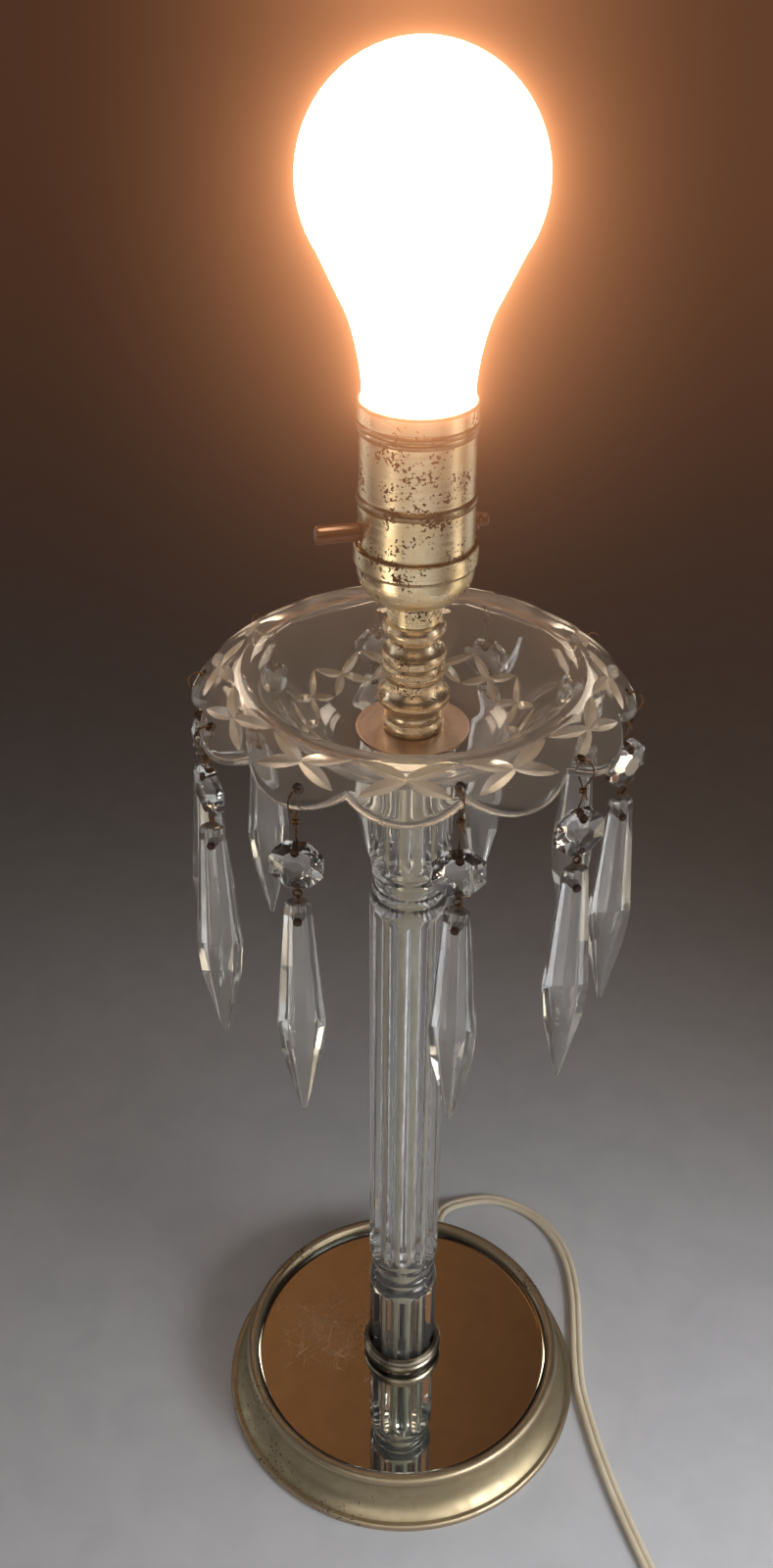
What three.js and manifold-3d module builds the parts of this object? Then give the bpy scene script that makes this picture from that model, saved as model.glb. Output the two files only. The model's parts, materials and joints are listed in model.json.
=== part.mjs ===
// Boudoir table lamp: a pressed-glass column on a mirrored metal base, a cut-glass drip dish
// hung with ten crystal pendants, a push-through socket and a bare, lit bulb.
// Millimetres, +Z up. The origin is on the table, under the column's axis.
// A direction round the lamp is an angle from the front (-Y) towards the right (+X).

import * as THREE from "three";
import { ConvexGeometry } from "three/addons/geometries/ConvexGeometry.js";
import { mergeVertices } from "three/addons/utils/BufferGeometryUtils.js";
import Module from "manifold-3d";

const wasm = await Module();
wasm.setup();

// Clearances between pieces that are assembled by hand
const SEAT_GAP = 0.3;
const BORE_GAP = 0.4;

// Base: cast weight, spun cover with a rolled rim, and the mirror that it holds
const FOOT_RADIUS = 70.4;
const FOOT_BEAD_WIDTH = 2.4;
const FOOT_BEAD_HEIGHT = 3.2;
const COVE_LEAN = 6.4;
const COVE_HOLLOW = 2.2;
const RIM_SWELL = 1.7;
const RIM_CREST_HEIGHT = 21.5;
const COVER_WALL = 1.2;
const WEIGHT_HEIGHT = 15.8;
const WEIGHT_SHOULDER = 1.6;
const MIRROR_INSET = 3.3;
const MIRROR_THICKNESS = 3.2;

// Lamp pipe, its lead, and the pocket in the weight where the lead turns up
const PIPE_RADIUS = 4.8;
const PIPE_WALL = 1.1;
const PIPE_BORE = PIPE_RADIUS + BORE_GAP;
const PIPE_FOOT = 9.5;
const POCKET_RADIUS = 9;
const LEAD_WIDTH = 4.2;

// Glass column: fluted lengths with turned necks between them
const FLUTES = 12;
const COLUMN_RADIUS = 13;
const FLUTE_DEPTH = 1.3;
const LOWER_LENGTH = 43;
const NECK_LENGTH = 18.5;
const MAIN_LENGTH = 169.5;
const UPPER_LENGTH = 43;
const NECK_GROOVE_RADIUS = 11.1;
const NECK_BEAD_RADIUS = 12;
const COLLAR_RADIUS = 15.4;
const COLLAR_HEIGHT = 7;

// Drip dish: flat floor, bowl, rounded crest, and a drooping scalloped flange
const DISH_FLOOR_THICKNESS = 4;
const FLANGE_THICKNESS = 3.2;
const FLOOR_RADIUS = 20;
const CREST_RISE = 21.9;
const BOWL_BIAS = 1.35;
const FLANGE_REACH = 16.1;
const FLANGE_DROOP = 9.8;
const FLANGE_CURVE = 1.7;
const SCALLOPS = 12;
const SCALLOP_TIP_RADIUS = 66.1;
const SCALLOP_DEPTH = 4.5;
const FIRST_SCALLOP = -1.5;
const EDGE_ROUNDING = 0.8;

// Pendants, hung by hand: the place round the dish, the bead's drop below its hook's ring,
// and the directions that the bead and the prism face, as angles from the front
const PENDANTS = [
  { angle: -66, drop: 18.5, beadFaces: -56, prismFaces: -6 },
  { angle: -29, drop: 21.8, beadFaces: -8, prismFaces: 0 },
  { angle: 12.6, drop: 24.6, beadFaces: 4, prismFaces: -14 },
  { angle: 48.8, drop: 21, beadFaces: 24, prismFaces: 12 },
  { angle: 88, drop: 22, beadFaces: 42, prismFaces: 16 },
  { angle: 121, drop: 22.4, beadFaces: 104, prismFaces: 150 },
  { angle: 157, drop: 23, beadFaces: 163, prismFaces: 178 },
  { angle: 192, drop: 21.6, beadFaces: 198, prismFaces: 186 },
  { angle: 231, drop: 22.6, beadFaces: 222, prismFaces: 200 },
  { angle: 266, drop: 17.6, beadFaces: 268, prismFaces: 340 },
];
const WIRE = 0.9;
const WIRE_SIDES = 4;
const DISH_HOLE_SIDES = 8;
const PENDANT_HOLE_SIDES = 6;
const HOOK_RADIUS = 3.1;
const HOOK_EDGE_GAP = 0.5;
const HOOK_CROSSING = 7.1;
const DISH_HOLE_RADIUS = 1.4;
const BEAD_ACROSS = 15;
const BEAD_THICKNESS = 6.6;
const BEAD_EDGE = 2;
const BEAD_HOLE_OFFSET = 5.4;
const BEAD_HOLE_RADIUS = 1.15;
const PRISM_HOLE_DROP = 13;
const PRISM_HOLE_INSET = 6;
const PRISM_HOLE_RADIUS = 1.2;
const PRISM_LENGTH = 82;
const PRISM_SHOULDER = 46;
const PRISM_WIDTH = 14.2;
const PRISM_THICKNESS = 8.4;
const PRISM_TOP_WIDTH = 7.6;
const PRISM_TOP_THICKNESS = 4.4;
const PRISM_PANEL = 4.4;

// Turned neck and socket
const WASHER_RADIUS = 17.4;
const WASHER_THICKNESS = 0.9;
const NECK_HEIGHT = 36.4;
const CAP_NECK_RADIUS = 7.85;
const CAP_NECK_HEIGHT = 6.6;
const CAP_BOWL_RADIUS = 16.65;
const CAP_BOWL_HEIGHT = 11.2;
const CAP_SKIRT_RADIUS = 17.6;
const CAP_SKIRT_HEIGHT = 6.3;
const SOCKET_WALL = 0.8;
const SHELL_RADIUS = 16.35;
const SHELL_TOP_RADIUS = 15.9;
const SHELL_RISE = 41.3;
const SHELL_WALL = 0.7;
const SHELL_BEAD_DROP = 28;
const SHELL_THREAD_DROP = 9;
const CORE_WALL = 1.1;
const CUP_RISE = 29.5;
const CUP_DEPTH = 22.3;
const SWITCH_HEIGHT = 4.4;
const SWITCH_ANGLE = 15;
const SWITCH_RADIUS = 2.6;
const SWITCH_LEFT = 28.9;
const SWITCH_RIGHT = 20.8;
const SWITCH_TIP = 2.6;

// Bulb: medium screw base and a standard household envelope
const BULB_BASE_RADIUS = 13;
const BULB_BASE_LENGTH = 23.7;
const BULB_RADIUS = 31.3;
const BULB_CENTRE_RISE = 59.3;
const BULB_NECK_RADIUS = 14.9;
const BULB_WALL = 1;

// Cord: a flat two-core lead, its coil, plug and bushing
const CORD_WIDTH = 5;
const CORD_THICKNESS = 2.7;
const CORD_LENGTH = 1800;
const EXIT_ANGLE = 168;
const EXIT_HEIGHT = 7.8;
const EXIT_REACH = 1.4;
const BUSHING_LENGTH = 20;
const BUSHING_RADIUS = 3.4;
const COIL_TURNS = 8;
const COIL_LAYERS = 2;
const COIL_TURN_GAP = 0.5;
const COIL_LAYER_GAP = 0.6;
const COIL_CENTRE = [68, -131];
const COIL_START_TURN = 20.9;
const COIL_LEAD_OUT = 24;
const PLUG_LENGTH = 26;
const PLUG_WIDTH = 20;
const PLUG_HEIGHT = 9.3;
const PLUG_ENTRY_WIDTH = 9;
const BLADE_LENGTH = 16;
const BLADE_WIDTH = 6.3;
const BLADE_THICKNESS = 1.5;
const BLADE_SPACING = 12.7;

// Sides of the turned pieces; pieces that nest in one another share a number
const BASE_SIDES = 36;
const COLLAR_SIDES = 24;
const SOCKET_SIDES = 20;
const PIPE_SIDES = 16;
const HOLE_SIDES = 12;

// Radii of the base, each from the one outside it
const COVE_FOOT_RADIUS = FOOT_RADIUS - FOOT_BEAD_WIDTH;
const COVE_TOP_RADIUS = COVE_FOOT_RADIUS - COVE_LEAN;
const RIM_RADIUS = COVE_TOP_RADIUS + RIM_SWELL;
const MIRROR_RADIUS = COVE_TOP_RADIUS - MIRROR_INSET;
const EXIT_RADIUS = FOOT_RADIUS + EXIT_REACH;

// Radii of the dish, from its scallops' tips inwards
const SCALLOP_CUSP_RADIUS = SCALLOP_TIP_RADIUS - SCALLOP_DEPTH;
const CREST_RADIUS = SCALLOP_TIP_RADIUS - FLANGE_REACH;

// Heights up the stack, each from the piece below
const MIRROR_TOP = WEIGHT_HEIGHT + MIRROR_THICKNESS;
const COLUMN_TOP = MIRROR_TOP + LOWER_LENGTH + NECK_LENGTH + MAIN_LENGTH + NECK_LENGTH + UPPER_LENGTH;
const DISH_FLOOR = COLUMN_TOP + DISH_FLOOR_THICKNESS;
const CREST_HEIGHT = DISH_FLOOR + CREST_RISE;
const NECK_FOOT = DISH_FLOOR + WASHER_THICKNESS;

// Geometry helpers

const degrees = THREE.MathUtils.degToRad;
const outwards = (angle) => new THREE.Vector3(Math.sin(degrees(angle)), -Math.cos(degrees(angle)), 0);

// A closed geometry as a solid that can be joined and cut.
function solid(geometry) {
  const bare = new THREE.BufferGeometry();
  bare.setAttribute("position", geometry.getAttribute("position"));
  bare.setIndex(geometry.index);
  const merged = mergeVertices(bare, 1e-4);
  return new wasm.Manifold(
    new wasm.Mesh({
      numProp: 3,
      vertProperties: new Float32Array(merged.attributes.position.array),
      triVerts: new Uint32Array(merged.index.array),
    }),
  );
}

// A solid back as a geometry, with flat-shaded normals.
function geometryOf(body) {
  const mesh = body.getMesh();
  const geometry = new THREE.BufferGeometry();
  geometry.setAttribute("position", new THREE.BufferAttribute(mesh.vertProperties, 3));
  geometry.setIndex(new THREE.BufferAttribute(mesh.triVerts, 1));
  geometry.computeVertexNormals();
  return geometry;
}

const cut = (geometry, ...tools) =>
  geometryOf(tools.reduce((body, tool) => body.subtract(solid(tool)), solid(geometry)));

const join = (...geometries) =>
  geometryOf(geometries.map(solid).reduce((body, other) => body.add(other)));

// An outline in the radius-height plane, drawn with the material on its left.
class Outline {
  constructor(radius, height) {
    this.points = [new THREE.Vector2(radius, height)];
  }

  line(radius, height) {
    this.points.push(new THREE.Vector2(radius, height));
    return this;
  }

  // An arc that swells outwards by its sagitta, or hollows in where that is negative.
  arc(radius, height, sagitta, steps = 4) {
    const from = this.points.at(-1);
    const to = new THREE.Vector2(radius, height);
    const half = from.distanceTo(to) / 2;
    const along = to.clone().sub(from).normalize();
    const out = new THREE.Vector2(along.y, -along.x).multiplyScalar(Math.sign(sagitta));
    const depth = Math.abs(sagitta);
    const curve = (half * half + depth * depth) / (2 * depth);
    const sweep = 2 * Math.atan2(half, curve - depth);
    const middle = from.clone().add(to).multiplyScalar(0.5);
    for (let k = 1; k < steps; k += 1) {
      const turn = sweep * (k / steps - 0.5);
      this.points.push(
        middle
          .clone()
          .addScaledVector(along, curve * Math.sin(turn))
          .addScaledVector(out, curve * Math.cos(turn) - curve + depth),
      );
    }
    this.points.push(to);
    return this;
  }

  // The outline turned about the vertical axis; a hollow piece's outline closes on itself.
  turned(segments) {
    const onAxis = this.points[0].x === 0 && this.points.at(-1).x === 0;
    const profile = onAxis ? this.points : [...this.points, this.points[0].clone()];
    return new THREE.LatheGeometry(profile, segments).rotateX(Math.PI / 2);
  }
}

// A plain rod from its foot to its head, with its own number of sides.
function rod(radius, foot, head, sides) {
  const length = foot.distanceTo(head);
  const geometry = new THREE.CylinderGeometry(radius, radius, length, sides);
  const direction = head.clone().sub(foot).normalize();
  geometry.applyQuaternion(new THREE.Quaternion().setFromUnitVectors(new THREE.Vector3(0, 1, 0), direction));
  const middle = foot.clone().add(head).multiplyScalar(0.5);
  return geometry.translate(middle.x, middle.y, middle.z);
}

// A path that keeps exactly the points that it is given.
class PointPath extends THREE.Curve {
  constructor(points) {
    super();
    this.points = points;
  }

  getPoint(t, target = new THREE.Vector3()) {
    const place = THREE.MathUtils.clamp(t, 0, 1) * (this.points.length - 1);
    const k = Math.min(Math.floor(place), this.points.length - 2);
    return target.lerpVectors(this.points[k], this.points[k + 1], place - k);
  }

  getPointAt(u, target) {
    return this.getPoint(u, target);
  }

  getTangentAt(u, target) {
    return this.getTangent(u, target);
  }
}

const swept = (section, points) =>
  new THREE.ExtrudeGeometry(section, { steps: points.length - 1, extrudePath: new PointPath(points) });

const roundSection = (radius, sides) =>
  new THREE.Shape(
    Array.from({ length: sides }, (_, k) => {
      const turn = (2 * Math.PI * k) / sides;
      return new THREE.Vector2(radius * Math.cos(turn), radius * Math.sin(turn));
    }),
  );

// Corners of a flat lead's section: thickness along x, width along y, a point at each edge.
function flatCorners(width, thickness) {
  const half = thickness / 2;
  const shoulder = width / 2 - 0.6 * half;
  const edge = [[half, shoulder], [0, width / 2], [-half, shoulder]].map(([x, y]) => new THREE.Vector2(x, y));
  return [...edge, ...edge.map((corner) => corner.clone().negate())];
}

// Materials

const finish = (colour, roughness, metalness, more = {}) =>
  new THREE.MeshStandardMaterial({ color: colour, roughness, metalness, ...more });

const PLATED_BASE = finish(0xb9ad8c, 0.35, 1);
const CAST_IRON = finish(0x2a2a2b, 0.8, 0.4);
const MIRROR = finish(0xcfd3d0, 0.04, 1);
const DARK_NICKEL = finish(0x77736b, 0.25, 1);
const CLEAR_GLASS = finish(0xe9f0ea, 0.03, 0, { transparent: true, opacity: 0.35 });
const CRYSTAL = finish(0xeef2f2, 0.02, 0, { transparent: true, opacity: 0.4 });
const PIPE = finish(0xd8cfae, 0.5, 0.4);
const COPPER = finish(0xb98158, 0.35, 1);
const PLATED_NECK = finish(0xc9b58c, 0.3, 1);
const SOCKET_BRASS = finish(0xc8b47c, 0.35, 1);
const BLACK_CORE = finish(0x1d1b1a, 0.6, 0);
const SWITCH_BROWN = finish(0x7a4a32, 0.4, 0.2);
const BULB_GLASS = finish(0xfff4e2, 0.4, 0, { emissive: 0xffdfb8, emissiveIntensity: 2 });
const BULB_SCREW = finish(0xbfbfb8, 0.35, 1);
const WIRE_BRASS = finish(0x5f452c, 0.5, 1);
const CORD_IVORY = finish(0xd9d2bb, 0.55, 0);
const PLUG_IVORY = finish(0xd3cbb2, 0.4, 0);

const lamp = new THREE.Group();

function add(name, geometry, material, group = lamp) {
  const mesh = new THREE.Mesh(geometry, material);
  mesh.name = name;
  group.add(mesh);
  return mesh;
}

// Base

const exit = outwards(EXIT_ANGLE);
const alongExit = (radius, height) => exit.clone().multiplyScalar(radius).setZ(height);
const coverEdge = WEIGHT_HEIGHT - WEIGHT_SHOULDER + SEAT_GAP;
const coverMouth = MIRROR_RADIUS + BORE_GAP;

function baseShell() {
  const outline = new Outline(COVE_FOOT_RADIUS - COVER_WALL, 0)
    .line(FOOT_RADIUS - 0.9, 0)
    .arc(FOOT_RADIUS - 1, FOOT_BEAD_HEIGHT - 0.1, 0.9, 3)
    .line(COVE_FOOT_RADIUS, FOOT_BEAD_HEIGHT)
    .arc(COVE_TOP_RADIUS, RIM_CREST_HEIGHT - 4.5, -COVE_HOLLOW, 4)
    .arc(RIM_RADIUS - 1.9, RIM_CREST_HEIGHT, 1.7, 3)
    .arc(coverMouth, RIM_CREST_HEIGHT - 2.4, 1.1, 2)
    .line(coverMouth, coverEdge)
    .line(coverMouth + COVER_WALL, coverEdge)
    .line(coverMouth + COVER_WALL, RIM_CREST_HEIGHT - 4.5)
    .line(COVE_TOP_RADIUS - COVER_WALL, RIM_CREST_HEIGHT - 5)
    .arc(COVE_FOOT_RADIUS - COVER_WALL, FOOT_BEAD_HEIGHT, COVE_HOLLOW, 3);
  const inner = alongExit(COVE_TOP_RADIUS - 8, EXIT_HEIGHT);
  const hole = rod(BUSHING_RADIUS + SEAT_GAP, inner, alongExit(FOOT_RADIUS + 8, EXIT_HEIGHT), HOLE_SIDES);
  return cut(outline.turned(BASE_SIDES), hole);
}

function baseWeight() {
  const shoulder = coverMouth - SEAT_GAP;
  const outline = new Outline(0, 0)
    .line(COVE_FOOT_RADIUS - COVER_WALL - 1.4, 0)
    .line(COVE_FOOT_RADIUS - COVER_WALL - 1.8, FOOT_BEAD_HEIGHT)
    .line(COVE_TOP_RADIUS - COVER_WALL + 0.2, FOOT_BEAD_HEIGHT + 6)
    .line(coverMouth + COVER_WALL - 0.4, WEIGHT_HEIGHT - WEIGHT_SHOULDER)
    .line(shoulder, WEIGHT_HEIGHT - WEIGHT_SHOULDER)
    .line(shoulder, WEIGHT_HEIGHT)
    .line(0, WEIGHT_HEIGHT);
  const below = new THREE.Vector3(0, 0, -5);
  const above = new THREE.Vector3(0, 0, WEIGHT_HEIGHT + 5);
  const pocketRoof = new THREE.Vector3(0, 0, PIPE_FOOT - 0.6);
  const pocket = rod(POCKET_RADIUS, below, pocketRoof, PIPE_SIDES);
  const bore = rod(PIPE_RADIUS + SEAT_GAP, below, above, PIPE_SIDES);
  const middle = alongExit(0, EXIT_HEIGHT);
  const tunnel = rod(BUSHING_RADIUS + SEAT_GAP, middle, alongExit(FOOT_RADIUS, EXIT_HEIGHT), HOLE_SIDES);
  return cut(outline.turned(BASE_SIDES), pocket, bore, tunnel);
}

function mirrorPlate() {
  const chamfer = 0.5;
  return new Outline(PIPE_BORE, WEIGHT_HEIGHT)
    .line(MIRROR_RADIUS, WEIGHT_HEIGHT)
    .line(MIRROR_RADIUS, MIRROR_TOP - chamfer)
    .line(MIRROR_RADIUS - chamfer, MIRROR_TOP)
    .line(PIPE_BORE, MIRROR_TOP)
    .turned(BASE_SIDES);
}

function columnCollar() {
  const inside = COLUMN_RADIUS + SEAT_GAP;
  const top = MIRROR_TOP + COLLAR_HEIGHT;
  return new Outline(inside, MIRROR_TOP)
    .line(COLLAR_RADIUS - 0.3, MIRROR_TOP)
    .arc(COLLAR_RADIUS - 0.2, top - 2.6, 0.5, 3)
    .line(inside + 1, top - 1.6)
    .line(inside + 0.7, top)
    .line(inside, top)
    .turned(COLLAR_SIDES);
}

add("base_shell", baseShell(), PLATED_BASE);
add("base_weight", baseWeight(), CAST_IRON);
add("mirror_plate", mirrorPlate(), MIRROR);
add("column_collar", columnCollar(), DARK_NICKEL);

// Column and pipe

// A wall of rings, each a list of points round the axis, closed by a fan at both ends.
function ringStack(rings) {
  const around = rings[0].length;
  const positions = rings.flat().flatMap((p) => p.toArray());
  const index = [];
  for (let level = 0; level < rings.length - 1; level += 1) {
    for (let k = 0; k < around; k += 1) {
      const a = level * around + k;
      const b = level * around + ((k + 1) % around);
      index.push(a, b, b + around, a, b + around, a + around);
    }
  }
  const ends = [
    [0, rings[0], -1],
    [(rings.length - 1) * around, rings.at(-1), 1],
  ];
  for (const [first, ring, side] of ends) {
    const centre = positions.length / 3;
    positions.push(0, 0, ring[0].z);
    for (let k = 0; k < around; k += 1) {
      const pair = [first + k, first + ((k + 1) % around)];
      index.push(centre, ...(side > 0 ? pair : pair.reverse()));
    }
  }
  const geometry = new THREE.BufferGeometry();
  geometry.setAttribute("position", new THREE.Float32BufferAttribute(positions, 3));
  return geometry.setIndex(index);
}

// One ring of the column: hollow flutes of a given depth between sharp arrises.
function fluteRing(height, radius, depth) {
  const steps = 3;
  return Array.from({ length: FLUTES * steps }, (_, k) => {
    const share = (k % steps) / steps;
    const r = radius - depth * Math.sin(Math.PI * share);
    return outwards((360 * k) / (FLUTES * steps)).multiplyScalar(r).setZ(height);
  });
}

function glassColumn() {
  const neck = (foot) => {
    const at = (share, radius) => fluteRing(foot + share * NECK_LENGTH, radius, 0);
    return [
      at(0.19, NECK_GROOVE_RADIUS + 0.5),
      at(0.33, NECK_BEAD_RADIUS),
      at(0.5, NECK_GROOVE_RADIUS),
      at(0.67, NECK_BEAD_RADIUS),
      at(0.81, NECK_GROOVE_RADIUS + 0.5),
    ];
  };
  const fluted = (height) => fluteRing(height, COLUMN_RADIUS, FLUTE_DEPTH);
  const lowerEnd = MIRROR_TOP + LOWER_LENGTH;
  const mainFoot = lowerEnd + NECK_LENGTH;
  const mainEnd = mainFoot + MAIN_LENGTH;
  const upperFoot = mainEnd + NECK_LENGTH;
  const wall = ringStack([
    fluted(MIRROR_TOP),
    fluted(lowerEnd),
    ...neck(lowerEnd),
    fluted(mainFoot),
    fluted(mainEnd),
    ...neck(mainEnd),
    fluted(upperFoot),
    fluted(COLUMN_TOP),
  ]);
  const below = new THREE.Vector3(0, 0, MIRROR_TOP - 5);
  const above = new THREE.Vector3(0, 0, COLUMN_TOP + 5);
  return cut(wall, rod(PIPE_BORE, below, above, PIPE_SIDES));
}

// The neck's outline is drawn in heights above its foot.
function turnedNeck() {
  const at = (height) => NECK_FOOT + height;
  return new Outline(PIPE_BORE, NECK_FOOT)
    .line(8.9, NECK_FOOT)
    .arc(8.4, at(4), 0.5, 2)
    .line(8.6, at(5.4))
    .arc(9.3, at(8.6), -0.3, 2)
    .line(10.6, at(9.6))
    .arc(10.4, at(12.6), 0.55, 2)
    .arc(8.2, at(17.4), -0.6, 2)
    .arc(9.1, at(20), 0.5, 2)
    .arc(8.9, at(23), 0.4, 2)
    .arc(9.1, at(26.6), 0.5, 2)
    .arc(6.95, at(30), -0.4, 2)
    .line(8.2, at(31.4))
    .arc(8.6, at(35.9), 0.9, 3)
    .line(CAP_NECK_RADIUS, at(NECK_HEIGHT))
    .line(PIPE_BORE, at(NECK_HEIGHT))
    .turned(PIPE_SIDES);
}

const CAP_FOOT = NECK_FOOT + NECK_HEIGHT;
const CAP_FLOOR = CAP_FOOT + CAP_NECK_HEIGHT + SOCKET_WALL;
const PIPE_HEAD = CAP_FLOOR - 0.5;

function lampPipe() {
  const inside = PIPE_RADIUS - PIPE_WALL;
  return new Outline(inside, PIPE_FOOT)
    .line(PIPE_RADIUS, PIPE_FOOT)
    .line(PIPE_RADIUS, PIPE_HEAD)
    .line(inside, PIPE_HEAD)
    .turned(PIPE_SIDES);
}

const CORE_FOOT = CAP_FLOOR + SEAT_GAP;

// The lead turns up in the weight's pocket and climbs the pipe to the socket.
function innerLead() {
  const points = [
    alongExit(EXIT_RADIUS - BUSHING_LENGTH - SEAT_GAP, EXIT_HEIGHT),
    alongExit(40, EXIT_HEIGHT - 0.3),
    alongExit(12, EXIT_HEIGHT - 0.6),
    alongExit(7.5, PIPE_FOOT - 3.2),
    alongExit(3.6, PIPE_FOOT - 3.4),
    alongExit(0.9, PIPE_FOOT - 0.5),
    alongExit(0, PIPE_FOOT + 6),
    alongExit(0, CORE_FOOT - SEAT_GAP),
  ];
  return swept(roundSection(LEAD_WIDTH / 2, 8), points);
}

add("glass_column", glassColumn(), CLEAR_GLASS);
add("lamp_pipe", lampPipe(), PIPE);
add("inner_lead", innerLead(), CORD_IVORY);

// Drip dish

// Height of the dish's upper face at a distance from its axis.
function dishTop(radius) {
  if (radius <= FLOOR_RADIUS) return DISH_FLOOR;
  if (radius <= CREST_RADIUS) {
    const share = ((radius - FLOOR_RADIUS) / (CREST_RADIUS - FLOOR_RADIUS)) ** BOWL_BIAS;
    return DISH_FLOOR + CREST_RISE * THREE.MathUtils.smoothstep(share, 0, 1);
  }
  const share = (radius - CREST_RADIUS) / (SCALLOP_TIP_RADIUS - CREST_RADIUS);
  return CREST_HEIGHT - FLANGE_DROOP * share ** FLANGE_CURVE;
}

function dishThickness(radius) {
  const share = THREE.MathUtils.smoothstep(radius, FLOOR_RADIUS, CREST_RADIUS);
  return THREE.MathUtils.lerp(DISH_FLOOR_THICKNESS, FLANGE_THICKNESS, share);
}

const dishMiddle = (radius) => dishTop(radius) - dishThickness(radius) / 2;

// Distance of the scalloped edge from the axis: each scallop is an arc through its two cusps.
function dishEdge(angle) {
  const half = 180 / SCALLOPS;
  const away = degrees(THREE.MathUtils.euclideanModulo(angle - FIRST_SCALLOP + half, 2 * half) - half);
  const halfChord = SCALLOP_CUSP_RADIUS * Math.sin(degrees(half));
  const rise = SCALLOP_TIP_RADIUS - SCALLOP_CUSP_RADIUS * Math.cos(degrees(half));
  const arc = (halfChord ** 2 + rise ** 2) / (2 * rise);
  const centre = SCALLOP_TIP_RADIUS - arc;
  return centre * Math.cos(away) + Math.sqrt(arc ** 2 - (centre * Math.sin(away)) ** 2);
}

// Where a pendant's hook rings the flange: its centre, and the hole that it goes through.
function hookSeat(angle) {
  const side = ((WIRE / 2 + SEAT_GAP) / SCALLOP_CUSP_RADIUS) * THREE.MathUtils.RAD2DEG;
  const edge = Math.max(dishEdge(angle - side), dishEdge(angle), dishEdge(angle + side));
  const slope = Math.atan2(dishMiddle(edge - 6) - dishMiddle(edge), 6);
  const along = new THREE.Vector2(Math.cos(slope), -Math.sin(slope));
  const outer = new THREE.Vector2(edge, dishMiddle(edge)).addScaledVector(along, HOOK_EDGE_GAP + WIRE / 2);
  const centre = outer.clone().addScaledVector(along, -HOOK_RADIUS);
  const hole = centre.clone().addScaledVector(along, -HOOK_RADIUS);
  return { centre, hole, across: new THREE.Vector2(-along.y, along.x) };
}

const inPlane = (angle, point) => outwards(angle).multiplyScalar(point.x).setZ(point.y);

function glassDish() {
  const steps = 4;
  const around = SCALLOPS * steps;
  const firstCusp = FIRST_SCALLOP + 180 / SCALLOPS;
  const flangeFoot = CREST_RADIUS + FLANGE_REACH * 0.31;
  const inBowl = (share) => THREE.MathUtils.lerp(FLOOR_RADIUS, CREST_RADIUS, share);
  const upper = [PIPE_BORE, ...[0, 0.27, 0.5, 0.7, 0.87, 1].map(inBowl), flangeFoot];
  const lower = [PIPE_BORE, ...[0, 0.33, 0.7, 1].map(inBowl)];
  // Each ring gives its radius and height where the edge lies at a given distance.
  const bottoms = lower.map((r) => () => [r, dishTop(r) - dishThickness(r)]);
  const tops = upper.map((r) => () => [r, dishTop(r)]).reverse();
  const inset = (edge) => edge - EDGE_ROUNDING;
  const rings = [
    ...bottoms,
    (edge) => [inset(edge), dishTop(inset(edge)) - dishThickness(edge)],
    (edge) => [edge, dishMiddle(edge)],
    (edge) => [inset(edge), dishTop(inset(edge))],
    (edge) => [(edge + flangeFoot) / 2, dishTop((edge + flangeFoot) / 2)],
    ...tops,
  ];
  const positions = [];
  const index = [];
  for (const ring of rings) {
    for (let k = 0; k < around; k += 1) {
      const angle = firstCusp + (360 * k) / around;
      const [radius, height] = ring(dishEdge(angle));
      positions.push(...outwards(angle).multiplyScalar(radius).setZ(height).toArray());
    }
  }
  rings.forEach((_, level) => {
    const next = (level + 1) % rings.length;
    for (let k = 0; k < around; k += 1) {
      const a = level * around + k;
      const b = level * around + ((k + 1) % around);
      const c = next * around + ((k + 1) % around);
      const d = next * around + k;
      index.push(a, b, c, a, c, d);
    }
  });
  const blank = new THREE.BufferGeometry();
  blank.setAttribute("position", new THREE.Float32BufferAttribute(positions, 3));
  blank.setIndex(index);
  const holes = PENDANTS.map(({ angle }) => {
    const { hole, across } = hookSeat(angle);
    const foot = inPlane(angle, hole.clone().addScaledVector(across, -4));
    const head = inPlane(angle, hole.clone().addScaledVector(across, 4));
    return rod(DISH_HOLE_RADIUS, foot, head, DISH_HOLE_SIDES);
  });
  return cut(blank, ...holes);
}

function dishWasher() {
  return new Outline(PIPE_BORE, DISH_FLOOR)
    .line(WASHER_RADIUS, DISH_FLOOR)
    .line(WASHER_RADIUS - 0.2, NECK_FOOT)
    .line(PIPE_BORE, NECK_FOOT)
    .turned(COLLAR_SIDES);
}

add("glass_dish", glassDish(), CLEAR_GLASS);
add("dish_washer", dishWasher(), COPPER);
add("turned_neck", turnedNeck(), PLATED_NECK);

// Socket

const CAP_BOWL_FOOT = CAP_FOOT + CAP_NECK_HEIGHT;
const CAP_LEDGE = CAP_BOWL_FOOT + CAP_BOWL_HEIGHT;
const SKIRT_FOOT = CAP_LEDGE + 1.2;
const CAP_TOP = SKIRT_FOOT + CAP_SKIRT_HEIGHT - 1.2;
const SHELL_FOOT = SKIRT_FOOT + SEAT_GAP;
const SHELL_TOP = CAP_TOP + SHELL_RISE;

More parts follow.
